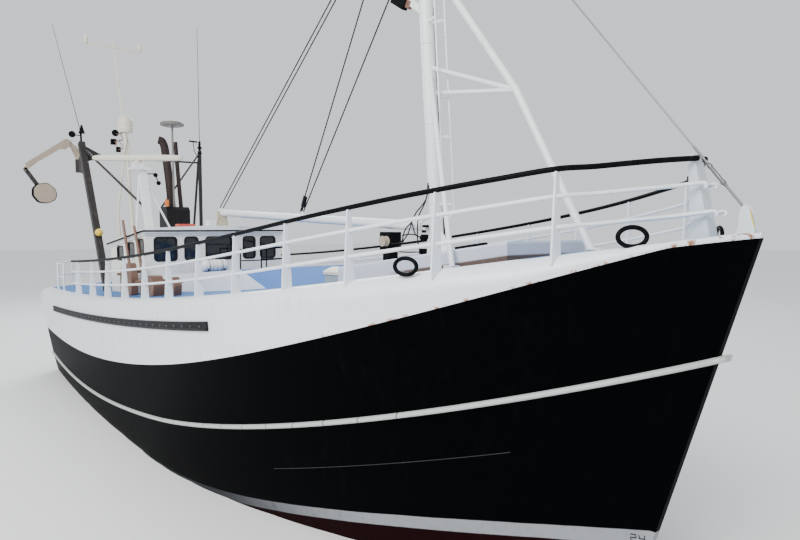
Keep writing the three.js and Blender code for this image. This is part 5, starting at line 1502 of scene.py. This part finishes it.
# %% Topping wires
TOPPING_RADIUS = 0.0155
TOPPING = [(12.5, lift_x[1], 0.055), (12.5, lift_x[1], -0.055), (12.65, lift_x[0], -0.045),
           (11.08, lift_x[0], 0.045)]
for number, (z, x, offset) in enumerate(TOPPING):
    top = np.array(on_mast(z + 0.03, -0.21, offset))
    low = np.array(on_boom(x, 0.16)) + np.array((0, offset, 0))
    wire = piece(f"topping_wire_{number}", [wire_rope(top, low, TOPPING_RADIUS, 40)], wire_dark, body=None)
    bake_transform(wire)
print(len(TOPPING), "topping wires")

# %% [markdown]
# ## What is clipped to the mast
# The winch and the boom are worked by oil, and its black steel pipes are clipped to the mast's after side
# and bend over to the winch. A curve object could draw each by hand, but a tube through a few points is
# moved by changing one number. The lamp, the valves and the wire's block are small blocks and turned pieces.

# %% Oil pipes and valves
OIL_RADIUS = 0.013
OIL_PIPES = [
    [(6.43, -0.13, 6.3), (6.40, -0.15, 6.0), (6.11, -0.155, 5.73), (6.03, -0.155, 5.6), (5.81, -0.155, 5.43),
     (5.74, -0.155, 5.3), (5.70, -0.155, 5.19), (5.50, -0.155, 5.14), (5.33, -0.155, 5.14)],
    [(6.46, -0.14, 6.25), (6.42, -0.185, 5.95), (6.25, -0.19, 5.7), (6.21, -0.19, 5.55), (6.21, -0.19, 5.2),
     (6.28, -0.19, 4.99)],
    [(6.03, -0.19, 5.57), (6.08, -0.19, 5.45), (6.12, -0.19, 5.36), (6.18, -0.185, 5.3),
     (6.32, -0.165, 5.28)],
    [(6.03, -0.185, 5.56), (5.96, -0.185, 5.42), (5.92, -0.185, 5.34), (5.80, -0.185, 5.22),
     (5.68, -0.185, 5.1), (5.33, -0.17, 5.03)],
    [(5.75, -0.19, 5.3), (5.9, -0.19, 5.325), (6.06, -0.19, 5.325), (6.2, -0.19, 5.31)],
    [(5.6, -0.19, 4.985), (5.85, -0.19, 4.98), (6.1, -0.19, 4.985), (6.3, -0.19, 4.99)],
]
oil_pipes = [tube(curve_through(route, 60), OIL_RADIUS, 10) for route in OIL_PIPES]
oil_pipes.append(tube([on_mast(z, 0.093, 0.114) for z in np.linspace(5.3, 9.6, 12)], 0.016, 10))
piece("oil_pipes", oil_pipes, hose_black, sharp=50)
VALVE_BLOCKS = [((6.33, -0.19, 5.46), (6.45, -0.12, 5.51)), ((6.30, -0.2, 5.2), (6.44, -0.12, 5.33)),
                ((6.26, -0.2, 4.95), (6.40, -0.12, 5.06)), ((6.34, -0.21, 5.36), (6.39, -0.13, 5.41))]
valves = [block(low, high) for low, high in VALVE_BLOCKS]
KNOB_PROFILE = [(0, 0), (0.028, 0), (0.028, 0.05), (0, 0.05)]
valves += [revolve(KNOB_PROFILE, (x, -0.2, z), (0, -1, 0), 14)
           for x, z in ((6.35, 5.26), (6.41, 5.26), (6.33, 5.0))]
piece("valve_blocks", valves, rail_black, bevel=0.004)
print("oil pipes:", len(OIL_PIPES), " valve blocks:", len(VALVE_BLOCKS))

# %% Lamp, block and channel
lamp_box = bar(on_mast(9.78, -0.55, -0.01), on_mast(10.02, -0.9, -0.01), 0.13, 0.2)
piece("mast_lamp", [lamp_box], rail_black, bevel=0.01)
lamp_bracket = bar(on_mast(9.74, -0.42), on_mast(9.86, -0.6), 0.075, 0.15)
piece("mast_lamp_bracket", [lamp_bracket], rust_brown, bevel=0.006)
block_low = np.array(on_boom(lift_x[0], 0.18))
block_high = np.array((lift_x[0] + 0.06 + 0.12, block_low[1], block_low[2] + 0.36))
wire_block = [bar(block_low + (0.05, 0, 0.1), block_high, 0.07, 0.11),
              rod(block_low, block_low + (0.06, 0, 0.12), 0.02, 12)]
piece("lift_block", wire_block, wire_dark, body="cargo_boom", bevel=0.012)
channel_ends = [(x, -0.93, float(trunk_top(x)) + 0.02) for x in (7.98, 8.62)]
piece("trunk_channel", [bar(*channel_ends, 0.08, 0.05)], rail_black, bevel=0.004)
print("a lamp, a wire block and a channel on the trunk")

# %% [markdown]
# ## Exhaust pipes
# Two pipes rise from the funnel casing, one thick and one thin, blackened by soot. A Solidify modifier could
# give a tube its wall, but the open end has to look hollow from above, so the skin turns over the lip and
# goes back down.


# %% Exhausts
def open_pipe(path, radius, wall=0.012, sides=28):
    """A pipe with an open upper end: the outer skin runs up, turns over the lip and goes back down inside."""
    path = np.asarray(path, float)
    inside = path[::-1][: max(3, len(path) // 3)]
    whole = np.concatenate([path, inside])
    radii = np.concatenate([np.full(len(path), radius), np.full(len(inside), radius - wall)])
    _, side_way, lift = frames_along(path)
    index = np.concatenate([np.arange(len(path)), np.arange(len(path))[::-1][: len(inside)]])
    ring = circles(side_way[index], lift[index], sides)
    return capped(whole[:, None] + radii[:, None, None] * ring)


LARGE_PIPE = [(-7.27, 0.05, 6.0), (-7.35, 0.01, 7.0), (-7.45, -0.06, 8.0), (-7.47, -0.11, 8.39),
              (-7.50, -0.18, 8.54), (-7.54, -0.28, 8.57)]
SMALL_PIPE = [(-7.29, 0.4, 6.0), (-7.40, 0.34, 7.4), (-7.5, 0.31, 8.54)]
piece("exhaust_large", [open_pipe(curve_through(LARGE_PIPE, 44), 0.14)], soot_pipe,
      stands_for=["exhaust_pipe_large"], sharp=50)
piece("exhaust_small", [open_pipe(curve_through(SMALL_PIPE, 30), 0.072, 0.008, 20)], soot_pipe,
      stands_for=["exhaust_pipe_small"], sharp=50)
print("two exhaust pipes")

# %% [markdown]
# ## Disc antenna and radar scanner
# The disc antenna is a turned piece: a profile spun round an axis, as the Screw modifier would do. The
# scanner is a long box with soft edges. A bevelled cube would look hard at the ends, so its section is a
# circle pushed towards a square, and it shrinks a little near both ends.

# %% Disc antenna
DISC = (-7.04, 0.04, 9.098)
dome_angle = np.linspace(0, math.pi / 2, 9)
disc_profile = [(0, -0.11), (0.14, -0.11), (0.3, -0.085), (0.4, -0.05), (0.41, -0.03), (0.41, 0.01),
                *[(0.40 * math.cos(a), 0.02 + 0.1 * math.sin(a)) for a in dome_angle[:-1]], (0, 0.12)]
piece("disc_antenna_shell", [revolve(disc_profile, DISC, sides=48),
                             rod((DISC[0], DISC[1], 6.0), (DISC[0], DISC[1], DISC[2] - 0.06), 0.035, 20)],
      disc_grey, stands_for=["disc_antenna"], sharp=40)
print("disc antenna")

# %% Radar scanner
RADAR = (-5.4, -1.68)
RADAR_TOP = 7.49
SCANNER_TURN = 0.88
SCANNER_HALF = 1.4
scanner_way = np.array((math.cos(SCANNER_TURN), math.sin(SCANNER_TURN), 0))
half_span = np.linspace(-SCANNER_HALF, SCANNER_HALF, 41)
bulge = 1 - np.abs(half_span / SCANNER_HALF) ** 14
arc = np.linspace(0, 2 * math.pi, 24, endpoint=False)
width = 0.115 * (0.55 + 0.45 * bulge)
depth = 0.094 * (0.5 + 0.5 * bulge)
HUB_PROFILE = [(0, 0), (0.13, 0), (0.13, 0.04), (0.1, 0.05), (0.1, 0.09), (0, 0.09)]


def boxy(wave):
    """A sine or cosine pushed towards a square wave: its sign times the square root of its size."""
    return np.sign(wave) * np.abs(wave) ** 0.5


across_way = np.array((-scanner_way[1], scanner_way[0], 0))
scanner = (np.array((*RADAR, 7.655))
           + half_span[:, None, None] * scanner_way
           + (width[:, None] * boxy(np.cos(arc)))[..., None] * across_way
           + (depth[:, None] * boxy(np.sin(arc)))[..., None] * np.array((0, 0, 1)))
hub = revolve(HUB_PROFILE, (*RADAR, RADAR_TOP + SEAM))
piece("scanner_shell", [capped(scanner), hub], aged_white, body="radar_scanner",
      stands_for=["radar_scanner"], sharp=45)
print("scanner of", 2 * SCANNER_HALF, "m")

# %% [markdown]
# ## Antenna mast
# A raked pole with two stays carries a dome and, on a thin upper mast, a crosstree with a sensor at each
# end. The dome could be a half sphere on a cylinder. One turned profile, a short foot and then a quarter
# oval, has no joint.

# %% Antenna mast
DOME = (-7.705, -1.34, 9.045)
CROSS_Z = 11.66


def cross_at(side):
    """An end of the crosstree: half its length to port, side 1, or to starboard, side -1."""
    return -8.015, -1.56 + side * 0.87, CROSS_Z


dome_profile = [(0.0, -0.30), (0.21, -0.30), (0.24, -0.22), (0.252, -0.12)]
dome_profile += [(0.26 * math.cos(a), 0.31 * math.sin(a)) for a in np.linspace(-0.35, math.pi / 2, 14)[:-1]]
dome_profile += [(0, 0.31)]
sensor_profile = [(0, 0), (0.05, 0), (0.07, 0.03), (0.07, 0.2), (0.055, 0.26), (0, 0.27)]
antenna = [rod((-7.07, -1.23, 3.0), (-7.67, -1.38, 8.8), 0.062, 24),
           rod((-7.74, -1.41, 9.25), (-8.04, -1.57, 11.86), 0.03, 16, 0.022),
           rod((-7.70, -1.345, 8.74), (-7.705, -1.345, 8.8), 0.15, 24),
           rod((-7.35, -1.56, 3.0), (-7.40, -1.76, 5.9), 0.045, 20),
           tube([(-7.40, -1.76, 5.88), (-7.47, -1.6, 6.98), (-7.56, -1.40, 8.35)], 0.036, 20),
           rod((-7.56, -1.00, 7.5), (-7.69, -1.34, 8.7), 0.032, 16),
           rod((-7.56, -1.005, 7.52), (-7.52, -1.35, 7.35), 0.032, 16),
           bar(cross_at(-1), cross_at(1), 0.05, 0.05)]
antenna += [revolve(sensor_profile, cross_at(s), sides=20) for s in (-1, 1)]
piece("antenna_pole", antenna, aged_white, stands_for=["antenna_mast"], sharp=40)
piece("antenna_dome", [revolve(dome_profile, DOME, sides=40)], aged_white, sharp=40)
print("antenna mast")

# %% [markdown]
# ## Life raft
# The raft is packed in a canister of two moulded shells, strapped into a cradle on the casing. Ribs could be
# a bump in the paint, but they show in its outline, so they are in the turned profile: its radius swings by
# a cosine along the straight part and closes in an oval at both ends.

# %% Canister
RAFT_LOW, RAFT_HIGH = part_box("liferaft")
RAFT_RADIUS = 0.185
BARREL_RADIUS = 0.178
RIB_DEPTH = 0.005
BARREL_HALF = 0.31
STRAP_RADIUS = 0.184
raft_axis_x = (RAFT_LOW.x + RAFT_HIGH.x) / 2
raft_axis_z = RAFT_HIGH.z - RAFT_RADIUS
raft_middle = (RAFT_LOW.y + RAFT_HIGH.y) / 2
h = np.linspace(-0.36, 0.36, 73)
barrel = BARREL_RADIUS + RIB_DEPTH * np.cos(h * 52) * (np.abs(h) < BARREL_HALF)
past_barrel = (np.abs(h) - BARREL_HALF) / 0.11
barrel = np.where(np.abs(h) > BARREL_HALF, BARREL_RADIUS * np.sqrt(np.clip(1 - past_barrel**2, 0, 1)), barrel)
raft_profile = [(0, -0.412), (0.07, -0.41), *zip(barrel, h), (0.07, 0.41), (0, 0.412)]
raft_centre = (raft_axis_x, raft_middle, raft_axis_z)
raft_shell = revolve(raft_profile, raft_centre, (0, 1, 0), 40)
seam = hoop(rounded_outline(-0.17, -0.4, 0.17, 0.4, 0.11),
            rounded_outline(-0.184, -0.412, 0.184, 0.412, 0.12), "z", -0.012, 0.012)
piece("raft_canister", [raft_shell, moved(seam, raft_centre)], moulded_white,
      stands_for=["liferaft"], sharp=40)
straps = [closed_tube(oval((raft_axis_x, raft_middle + dy, raft_axis_z), (STRAP_RADIUS, 0, 0),
                           (0, 0, STRAP_RADIUS), 60), 0.006, 6) for dy in (-0.2, 0.2)]
cradle = []
for dy in (-0.25, 0.25):
    y = raft_middle + dy
    arc = np.linspace(math.pi * 1.12, math.pi * 1.88, 15)
    curve = [(raft_axis_x + 0.196 * math.cos(a), y, raft_axis_z + 0.196 * math.sin(a)) for a in arc]
    cradle.append(tube(np.array(curve), 0.012, 10))
    for s in (-1, 1):
        cradle.append(rod((raft_axis_x + s * 0.14, y, RAFT_LOW.z + 0.005),
                          (raft_axis_x + s * 0.14, y, raft_axis_z - 0.14), 0.012, 10))
piece("raft_straps", straps, hose_black, sharp=60)
piece("raft_cradle", cradle, rail_black, sharp=60)
print("life raft canister")

# %% [markdown]
# ## Stern gantry
# Over the stern stand a raked leg and an upright post with a beam between them. The raked leg's head carries
# the net crane, whose links keep the frame's solids. Each part could be a scaled cube or cylinder, but bars
# and rods from point to point meet where they should without any turning by hand.

# %% Gantry
CRANE_X = -10.6
HEAD = np.array((CRANE_X, -2.17, 8.0))
RAKED_FOOT = np.array((-7.06, -2.21, 3.0))
RAKED_HEAD = np.array((-10.15, -2.175, 8.57))
PORT_POST = (-10.15, 2.3)
BEAM_Z = 8.08


def on_raked(z):
    """The point of the raked leg's axis at a height: foot + way to the head, by the share of the height."""
    return RAKED_FOOT + (RAKED_HEAD - RAKED_FOOT) * (z - RAKED_FOOT[2]) / (RAKED_HEAD[2] - RAKED_FOOT[2])


def raked_x(z):
    """Only the x of that point."""
    return float(on_raked(z)[0])


gantry = [bar(RAKED_FOOT, RAKED_HEAD, 0.21, 0.21), rod(HEAD - (0, 0, 0.48), HEAD, 0.13, 28),
          prism([(HEAD[0], 7.56), (HEAD[0], 7.88), (raked_x(8.25), 8.25), (raked_x(7.35), 7.35)],
                "y", HEAD[1] - 0.06, HEAD[1] + 0.06),
          prism([(-2.2, 8.48), (-1.48, BEAM_Z + 0.03), (-1.48, BEAM_Z - 0.03), (-2.2, 7.85)],
                "x", raked_x(BEAM_Z) - 0.018, raked_x(BEAM_Z) + 0.018),
          rod((*PORT_POST, 3.0), (*PORT_POST, 8.65), 0.072, 24),
          rod((*PORT_POST, 9.0), (*PORT_POST, 13.6), 0.014, 10, 0.008),
          rod((-11.2, 2.18, 3.0), (-10.18, 2.26, 8.3), 0.048, 20),
          rod(on_raked(BEAM_Z), (*PORT_POST, BEAM_Z + 0.06), 0.038, 20),
          rod((-10.15, -2.17, 8.45), (-5.5, -1.506, 6.15), 0.043, 20),
          rod((-10.16, 2.28, 8.52), (-7.66, -0.179, 6.206), 0.034, 18)]
piece("gantry_tubes", gantry, gantry_dark, stands_for=["stern_gantry"], sharp=35)
port_fitting = [rod((*PORT_POST, 8.6), (*PORT_POST, 9.02), 0.05, 20)]
COLLAR_PROFILE = [(0, 0), (0.085, 0), (0.1, 0.03), (0.07, 0.08), (0, 0.08)]
port_fitting += [revolve(COLLAR_PROFILE, (*PORT_POST, z), sides=20) for z in (8.5, 8.72)]
port_fitting += [rod((-10.15, 2.24, 8.3), (-10.15, 2.08, 8.62), 0.016, 10),
                 rod((-10.15, 2.08, 8.6), (-10.15, 2.03, 8.97), 0.016, 10),
                 bar((-10.15, 1.86, 9.0), (-10.15, 2.2, 8.985), 0.05, 0.06)]
piece("port_post_fitting", port_fitting, rail_black, sharp=35)
print("gantry of", len(gantry), "parts")

# %% [markdown]
# ## Lamps and aerials aft
# Working decks are lit from the gantry, so floodlights sit on its head and on the antenna mast. Modelled
# lamps with glass would be lost at this size. Short turned pieces and boxes on arms give their outline
# against the sky.

# %% Lamps and aerials
HORN_PROFILE = [(0, 0), (0.12, 0), (0.09, 0.07), (0.03, 0.3), (0, 0.32)]
head_post = [rod(RAKED_HEAD - (0, 0, 0.1), (-10.15, -2.19, 9.1), 0.035, 16),
             rod((-10.15, -2.19, 8.95), (-10.15, -3.0, 12.7), 0.012, 8, 0.007),
             revolve(HORN_PROFILE, (-10.15, -2.15, 8.92), sides=20),
             bar((-10.15, -2.19, 8.84), (-10.15, -2.42, 8.84), 0.03, 0.03)]
piece("gantry_head_post", head_post, rail_black, sharp=40)
flood_profile = [(0, -0.09), (0.07, -0.09), (0.11, 0.0), (0.12, 0.06), (0.1, 0.065), (0, 0.05)]
floods = [revolve(flood_profile, (-10.13, -2.47, 8.87), (0.8, -0.4, -0.3), 20),
          revolve(flood_profile, (-8.37, -1.47, 8.80), (0.8, -0.5, -0.2), 20)]
piece("floodlights", floods, rail_black, sharp=40)
LATTICE = [((-7.68, -1.4, 8.5), (-8.5, -1.5, 8.5), 0.018),
           ((-7.67, -1.4, 8.2), (-8.25, -1.44, 8.2), 0.018),
           ((-7.69, -1.42, 8.72), (-8.36, -1.47, 8.76), 0.016),
           ((-8.25, -1.44, 8.2), (-8.4, -1.49, 8.5), 0.014),
           ((-7.66, -1.4, 8.2), (-8.1, -1.46, 8.5), 0.014),
           ((-7.70, -1.4, 8.5), (-8.0, -1.45, 8.73), 0.014)]
piece("lamp_lattice", [rod(start, end, radius, 10) for start, end, radius in LATTICE], rust_brown, sharp=40)
lamp_boxes = [block((-8.6, -1.6, 8.40), (-8.46, -1.42, 8.60)),
              block((-8.32, -1.5, 8.12), (-8.2, -1.36, 8.30))]
piece("square_lamps", lamp_boxes, rail_black, bevel=0.012)
print("floodlights:", len(floods), " square lamps:", len(lamp_boxes))

# %% [markdown]
# ## Net crane and power block
# The crane swings the power block that hauls the net. Its cheeks are plates with many soft corners.
# Bevelling each corner by hand would do, but a short curve across every corner of the outline softens them
# all alike. The pieces ride on the crane's own bodies, so they follow its joints.

# %% Power block
top_plate = bar((CRANE_X, -2.3, 8.732), (CRANE_X, -2.62, 8.6), 0.17, 0.012)
piece("jib_top_plate", [top_plate], aged_white, body="crane_jib", bevel=0.002)
clevis = rod((CRANE_X - 0.1, -3.93, 7.55), (CRANE_X + 0.1, -3.93, 7.55), 0.05, 18)
piece("jib_tip_clevis", [clevis], rail_black, body="crane_jib", sharp=35)
BLOCK_CENTRE = (-3.385, 6.71)
BLOCK_CORNERS = [(-3.64, 7.02), (-3.32, 7.08), (-3.08, 6.9), (-3.0, 6.68), (-3.06, 6.46), (-3.3, 6.33),
                 (-3.6, 6.36), (-3.78, 6.6), (-3.77, 6.86)]
SHEAVE_PROFILE = [(0, 0), (0.25, 0), (0.2, 0.06), (0.2, 0.13), (0.25, 0.19), (0, 0.19)]
FACE_PROFILE = [(0, 0), (0.27, 0), (0.27, 0.004), (0, 0.004)]


def softened(corners, share=0.28, steps=5):
    """Each corner of an outline becomes a short curve between points on its two sides."""
    corners = np.asarray(corners, float)
    before = corners + (np.roll(corners, 1, axis=0) - corners) * share
    after = corners + (np.roll(corners, -1, axis=0) - corners) * share
    t = np.linspace(0, 1, steps)[:, None]
    return np.concatenate([(1 - t) ** 2 * b + 2 * t * (1 - t) * c + t * t * a
                           for b, c, a in zip(before, corners, after)])


cheek = softened(BLOCK_CORNERS)
inner_cheek = np.array(BLOCK_CENTRE) + (cheek - BLOCK_CENTRE) * 0.93
block_shells = [prism(cheek, "x", -10.53, -10.485), prism(cheek, "x", -10.295, -10.262),
                revolve(SHEAVE_PROFILE, (-10.485, *BLOCK_CENTRE), (1, 0, 0), 32)]
piece("power_block_shell", block_shells, rail_black, body="power_block",
      stands_for=["power_block"], sharp=40)
cheek_faces = [prism(inner_cheek, "x", -10.264, -10.245), prism(inner_cheek, "x", -10.54, -10.528),
               revolve(FACE_PROFILE, (-10.246, *BLOCK_CENTRE), (1, 0, 0), 36)]
piece("power_block_cheeks", cheek_faces, crane_cream, body="power_block", sharp=40)
print("power block with a cheek of", len(cheek), "points")

# %% [markdown]
# ## Loose gear at the side
# Between the rail and the house stand two poles, a float on its arm and some brown deck gear that can't be
# told apart at this size. Real gear would be heaped up piece by piece. Three soft outlines with a bar
# through each stand in for it.

# %% Side poles and deck gear
ball = [(0.13 * math.sin(a), -0.13 * math.cos(a)) for a in half_turn]
float_arm = rod((-8.2, -2.2, 5.38), (-8.08, -2.2, 5.42), 0.012, 8)
piece("yellow_float", [revolve(ball, (-8.08, -2.2, 5.3)), float_arm], yellow_paint)
SIDE_POLES = [((-3.96, -2.36, 3.62), (-4.79, -2.36, 5.68)), ((-2.86, -2.36, 3.68), (-3.72, -2.36, 5.5))]
piece("side_poles", [rod(low, high, 0.045, 18, 0.038) for low, high in SIDE_POLES], rust_brown, sharp=40)
GEAR_Y = -2.62
SIDE_GEAR = [(-3.95, -3.0, 0.9, 0.2), (-2.0, -1.05, 0.52, 0.3), (-0.25, 0.25, 0.42, 0.2)]
gear = []
for first, last, tall, wide in SIDE_GEAR:
    base = float(deck_edge(first)) + 0.1
    outline = softened([(first, base - 0.1), (last, base - 0.08), (last + 0.08, base + 0.55 * tall),
                        (last - 0.12, base + tall), (first + 0.2, base + 0.93 * tall),
                        (first - 0.06, base + 0.5 * tall)], 0.2)
    gear.append(prism(outline, "y", GEAR_Y - wide / 2, GEAR_Y + wide / 2))
    gear.append(rod((first + 0.1, GEAR_Y - wide, base + 0.6 * tall),
                    (last - 0.1, GEAR_Y + wide, base + 0.72 * tall), 0.04, 14))
piece("side_deck_gear", gear, rust_brown, bevel=0.015)
print("side poles and", len(SIDE_GEAR), "heaps of gear")

# %% [markdown]
# ## Gear on the roof
# A red box and a white locker stand on the cambered roof, and lamps on arms behind them. Boxes could be
# moved down until they look right. Here the roof's own sum says how high it is under each, so they stand on
# it.


# %% Roof gear
def roof_top(x, y):
    """Height of the roof's surface: its edge plus a crown that falls off by the square of y."""
    return float(roof_edge(x)) + ROOF_CROWN * (1 - (y / roof_half) ** 2)


RED_BOX = (-3.75, -1.0)
red_low = roof_top(*RED_BOX) - 0.01
red_box = block((RED_BOX[0] - 0.15, RED_BOX[1] - 0.1, red_low),
                (RED_BOX[0] + 0.15, RED_BOX[1] + 0.42, red_low + 0.15))
piece("roof_box_red", [red_box], red_paint, bevel=0.012)
LOCKER_Y = -0.17
locker_foot = roof_top(-3.6, LOCKER_Y)
locker = block((-3.75, LOCKER_Y - 0.05, locker_foot - 0.03), (-3.5, LOCKER_Y + 0.24, locker_foot + 0.22))
piece("roof_locker", [locker], white_rail, bevel=0.015)
piece("orange_lamp", [block((-6.9, -0.35, 6.2), (-6.78, -0.22, 6.44))], orange_paint, bevel=0.03)
COLUMN_LAMPS = [(-5.2, -1.20, 7.14), (-5.2, -1.11, 6.89)]
column_lamps = [rod((-5.4, -1.5, 7.17), (-5.22, -1.20, 7.17), 0.018, 10),
                rod((-5.24, -1.22, 7.17), (-5.22, -1.12, 6.93), 0.016, 10)]
column_lamps += [revolve(np.array(flood_profile) * 0.6, place, (0.8, -0.5, -0.3), 16)
                 for place in COLUMN_LAMPS]
piece("column_lamps", column_lamps, rail_black, sharp=40)
print("roof gear and lamps")

# %% [markdown]
# ## Propeller
# A blade is a sheet whose pitch makes it twist. A flat plate with a Simple Deform twist would turn evenly.
# On a real blade the chord lies at each radius at the angle whose tangent is the pitch over the way round,
# so it is worked out row by row. Four are set round a hub.

# %% Propeller blades
hub_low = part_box("propeller")[0]
SHAFT_Z = -2.3
BLADES = 4
BLADE_X = -10.19
radius_steps = np.linspace(0.12, 0.775, 22)
chord_share = np.linspace(-1, 1, 15)
blade_chord = 0.30 * np.sin(np.linspace(0.35, math.pi, 22)) ** 0.55
pitch = np.arctan2(0.62, radius_steps * 1.9)
thick = 0.018 * (1 - 0.7 * np.linspace(0, 1, 22))[:, None] * (1 - chord_share**2)[None, :] + 0.0015
chord = blade_chord[:, None] * chord_share[None, :]


def blade_side(sign):
    """Point = shaft + radius out + chord turned by the pitch, raised by half the thickness on each side."""
    lift = sign * thick
    x = BLADE_X + np.sin(pitch)[:, None] * chord * 0.75 + np.cos(pitch)[:, None] * lift
    tangential = np.cos(pitch)[:, None] * chord - np.sin(pitch)[:, None] * lift
    radial = np.sqrt(np.clip(radius_steps[:, None] ** 2 - tangential**2, 0.0004, None))
    return np.stack([x, tangential, radial], axis=-1)


blade = capped(np.concatenate([blade_side(1), blade_side(-1)[:, ::-1]], axis=1))
blades = []
for k in range(BLADES):
    a = 2 * math.pi / BLADES * k + 0.4
    spin = np.array(((1, 0, 0), (0, math.cos(a), -math.sin(a)), (0, math.sin(a), math.cos(a))))
    blades.append((blade[0] @ spin.T + np.array((0, 0, SHAFT_Z)), blade[1]))
hub_profile = [(0, 0), (0.05, 0.008), (0.09, 0.03), (0.125, 0.08), (0.15, 0.15), (0.172, 0.25), (0.185, 0.34),
               (0.188, 0.64), (0, 0.64)]
piece("propeller_shell", [*blades, revolve(hub_profile, (hub_low.x, 0, SHAFT_Z), (1, 0, 0), 36)], worn_bronze,
      body="propeller", stands_for=["propeller"], sharp=50)
print("propeller of", BLADES, "blades")

# %% [markdown]
# ## Finishes for the frame's own nodes
# Every other solid of the frame stays as it is and takes a paint. Materials could be picked one by one in
# the Material tab. One table says it all in a place where it can be read and changed.

# %% Paint the frame
FINISH = {
    "bar_keel": red_bottom, "rudder": red_bottom, "bow_post": bow_grey,
    "mast_trunk": trunk_paint, "hatch_coaming": hatch_grey, "hatch_lid": aged_white, "casing": casing_paint,
    "wheelhouse_front": house_cream, "wheelhouse_aft": house_cream, "wheelhouse_door": house_cream,
    "wheelhouse_side_port": house_cream, "wheelhouse_side_starboard": house_cream,
    "boom_crutch": crutch_cream, "funnel_casing": funnel_black, "casing_rail": rail_black,
    "winch_frame": rail_black, "winch_drum": crane_cream, "radar_mast": mast_white,
    "crane_column": crane_cream, "crane_jib": crane_cream, "block_arm": gantry_dark,
    "net_drum": gear_rusty, "net_drum_stand_port": gear_rusty, "net_drum_stand_starboard": gear_rusty,
}
for name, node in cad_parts.items():
    if node.hide_render:
        continue
    node.data.materials.clear()
    node.data.materials.append(FINISH[name])
print(len(FINISH), "nodes painted")

# %% [markdown]
# ## Sizes
# The bounds of the dressed boat are worked out, and the number of faces made is printed. The sizes could be
# read off in the viewport.

# %% Sizes and finish
low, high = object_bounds()
print("faces made:", sum(made_pieces.values()))
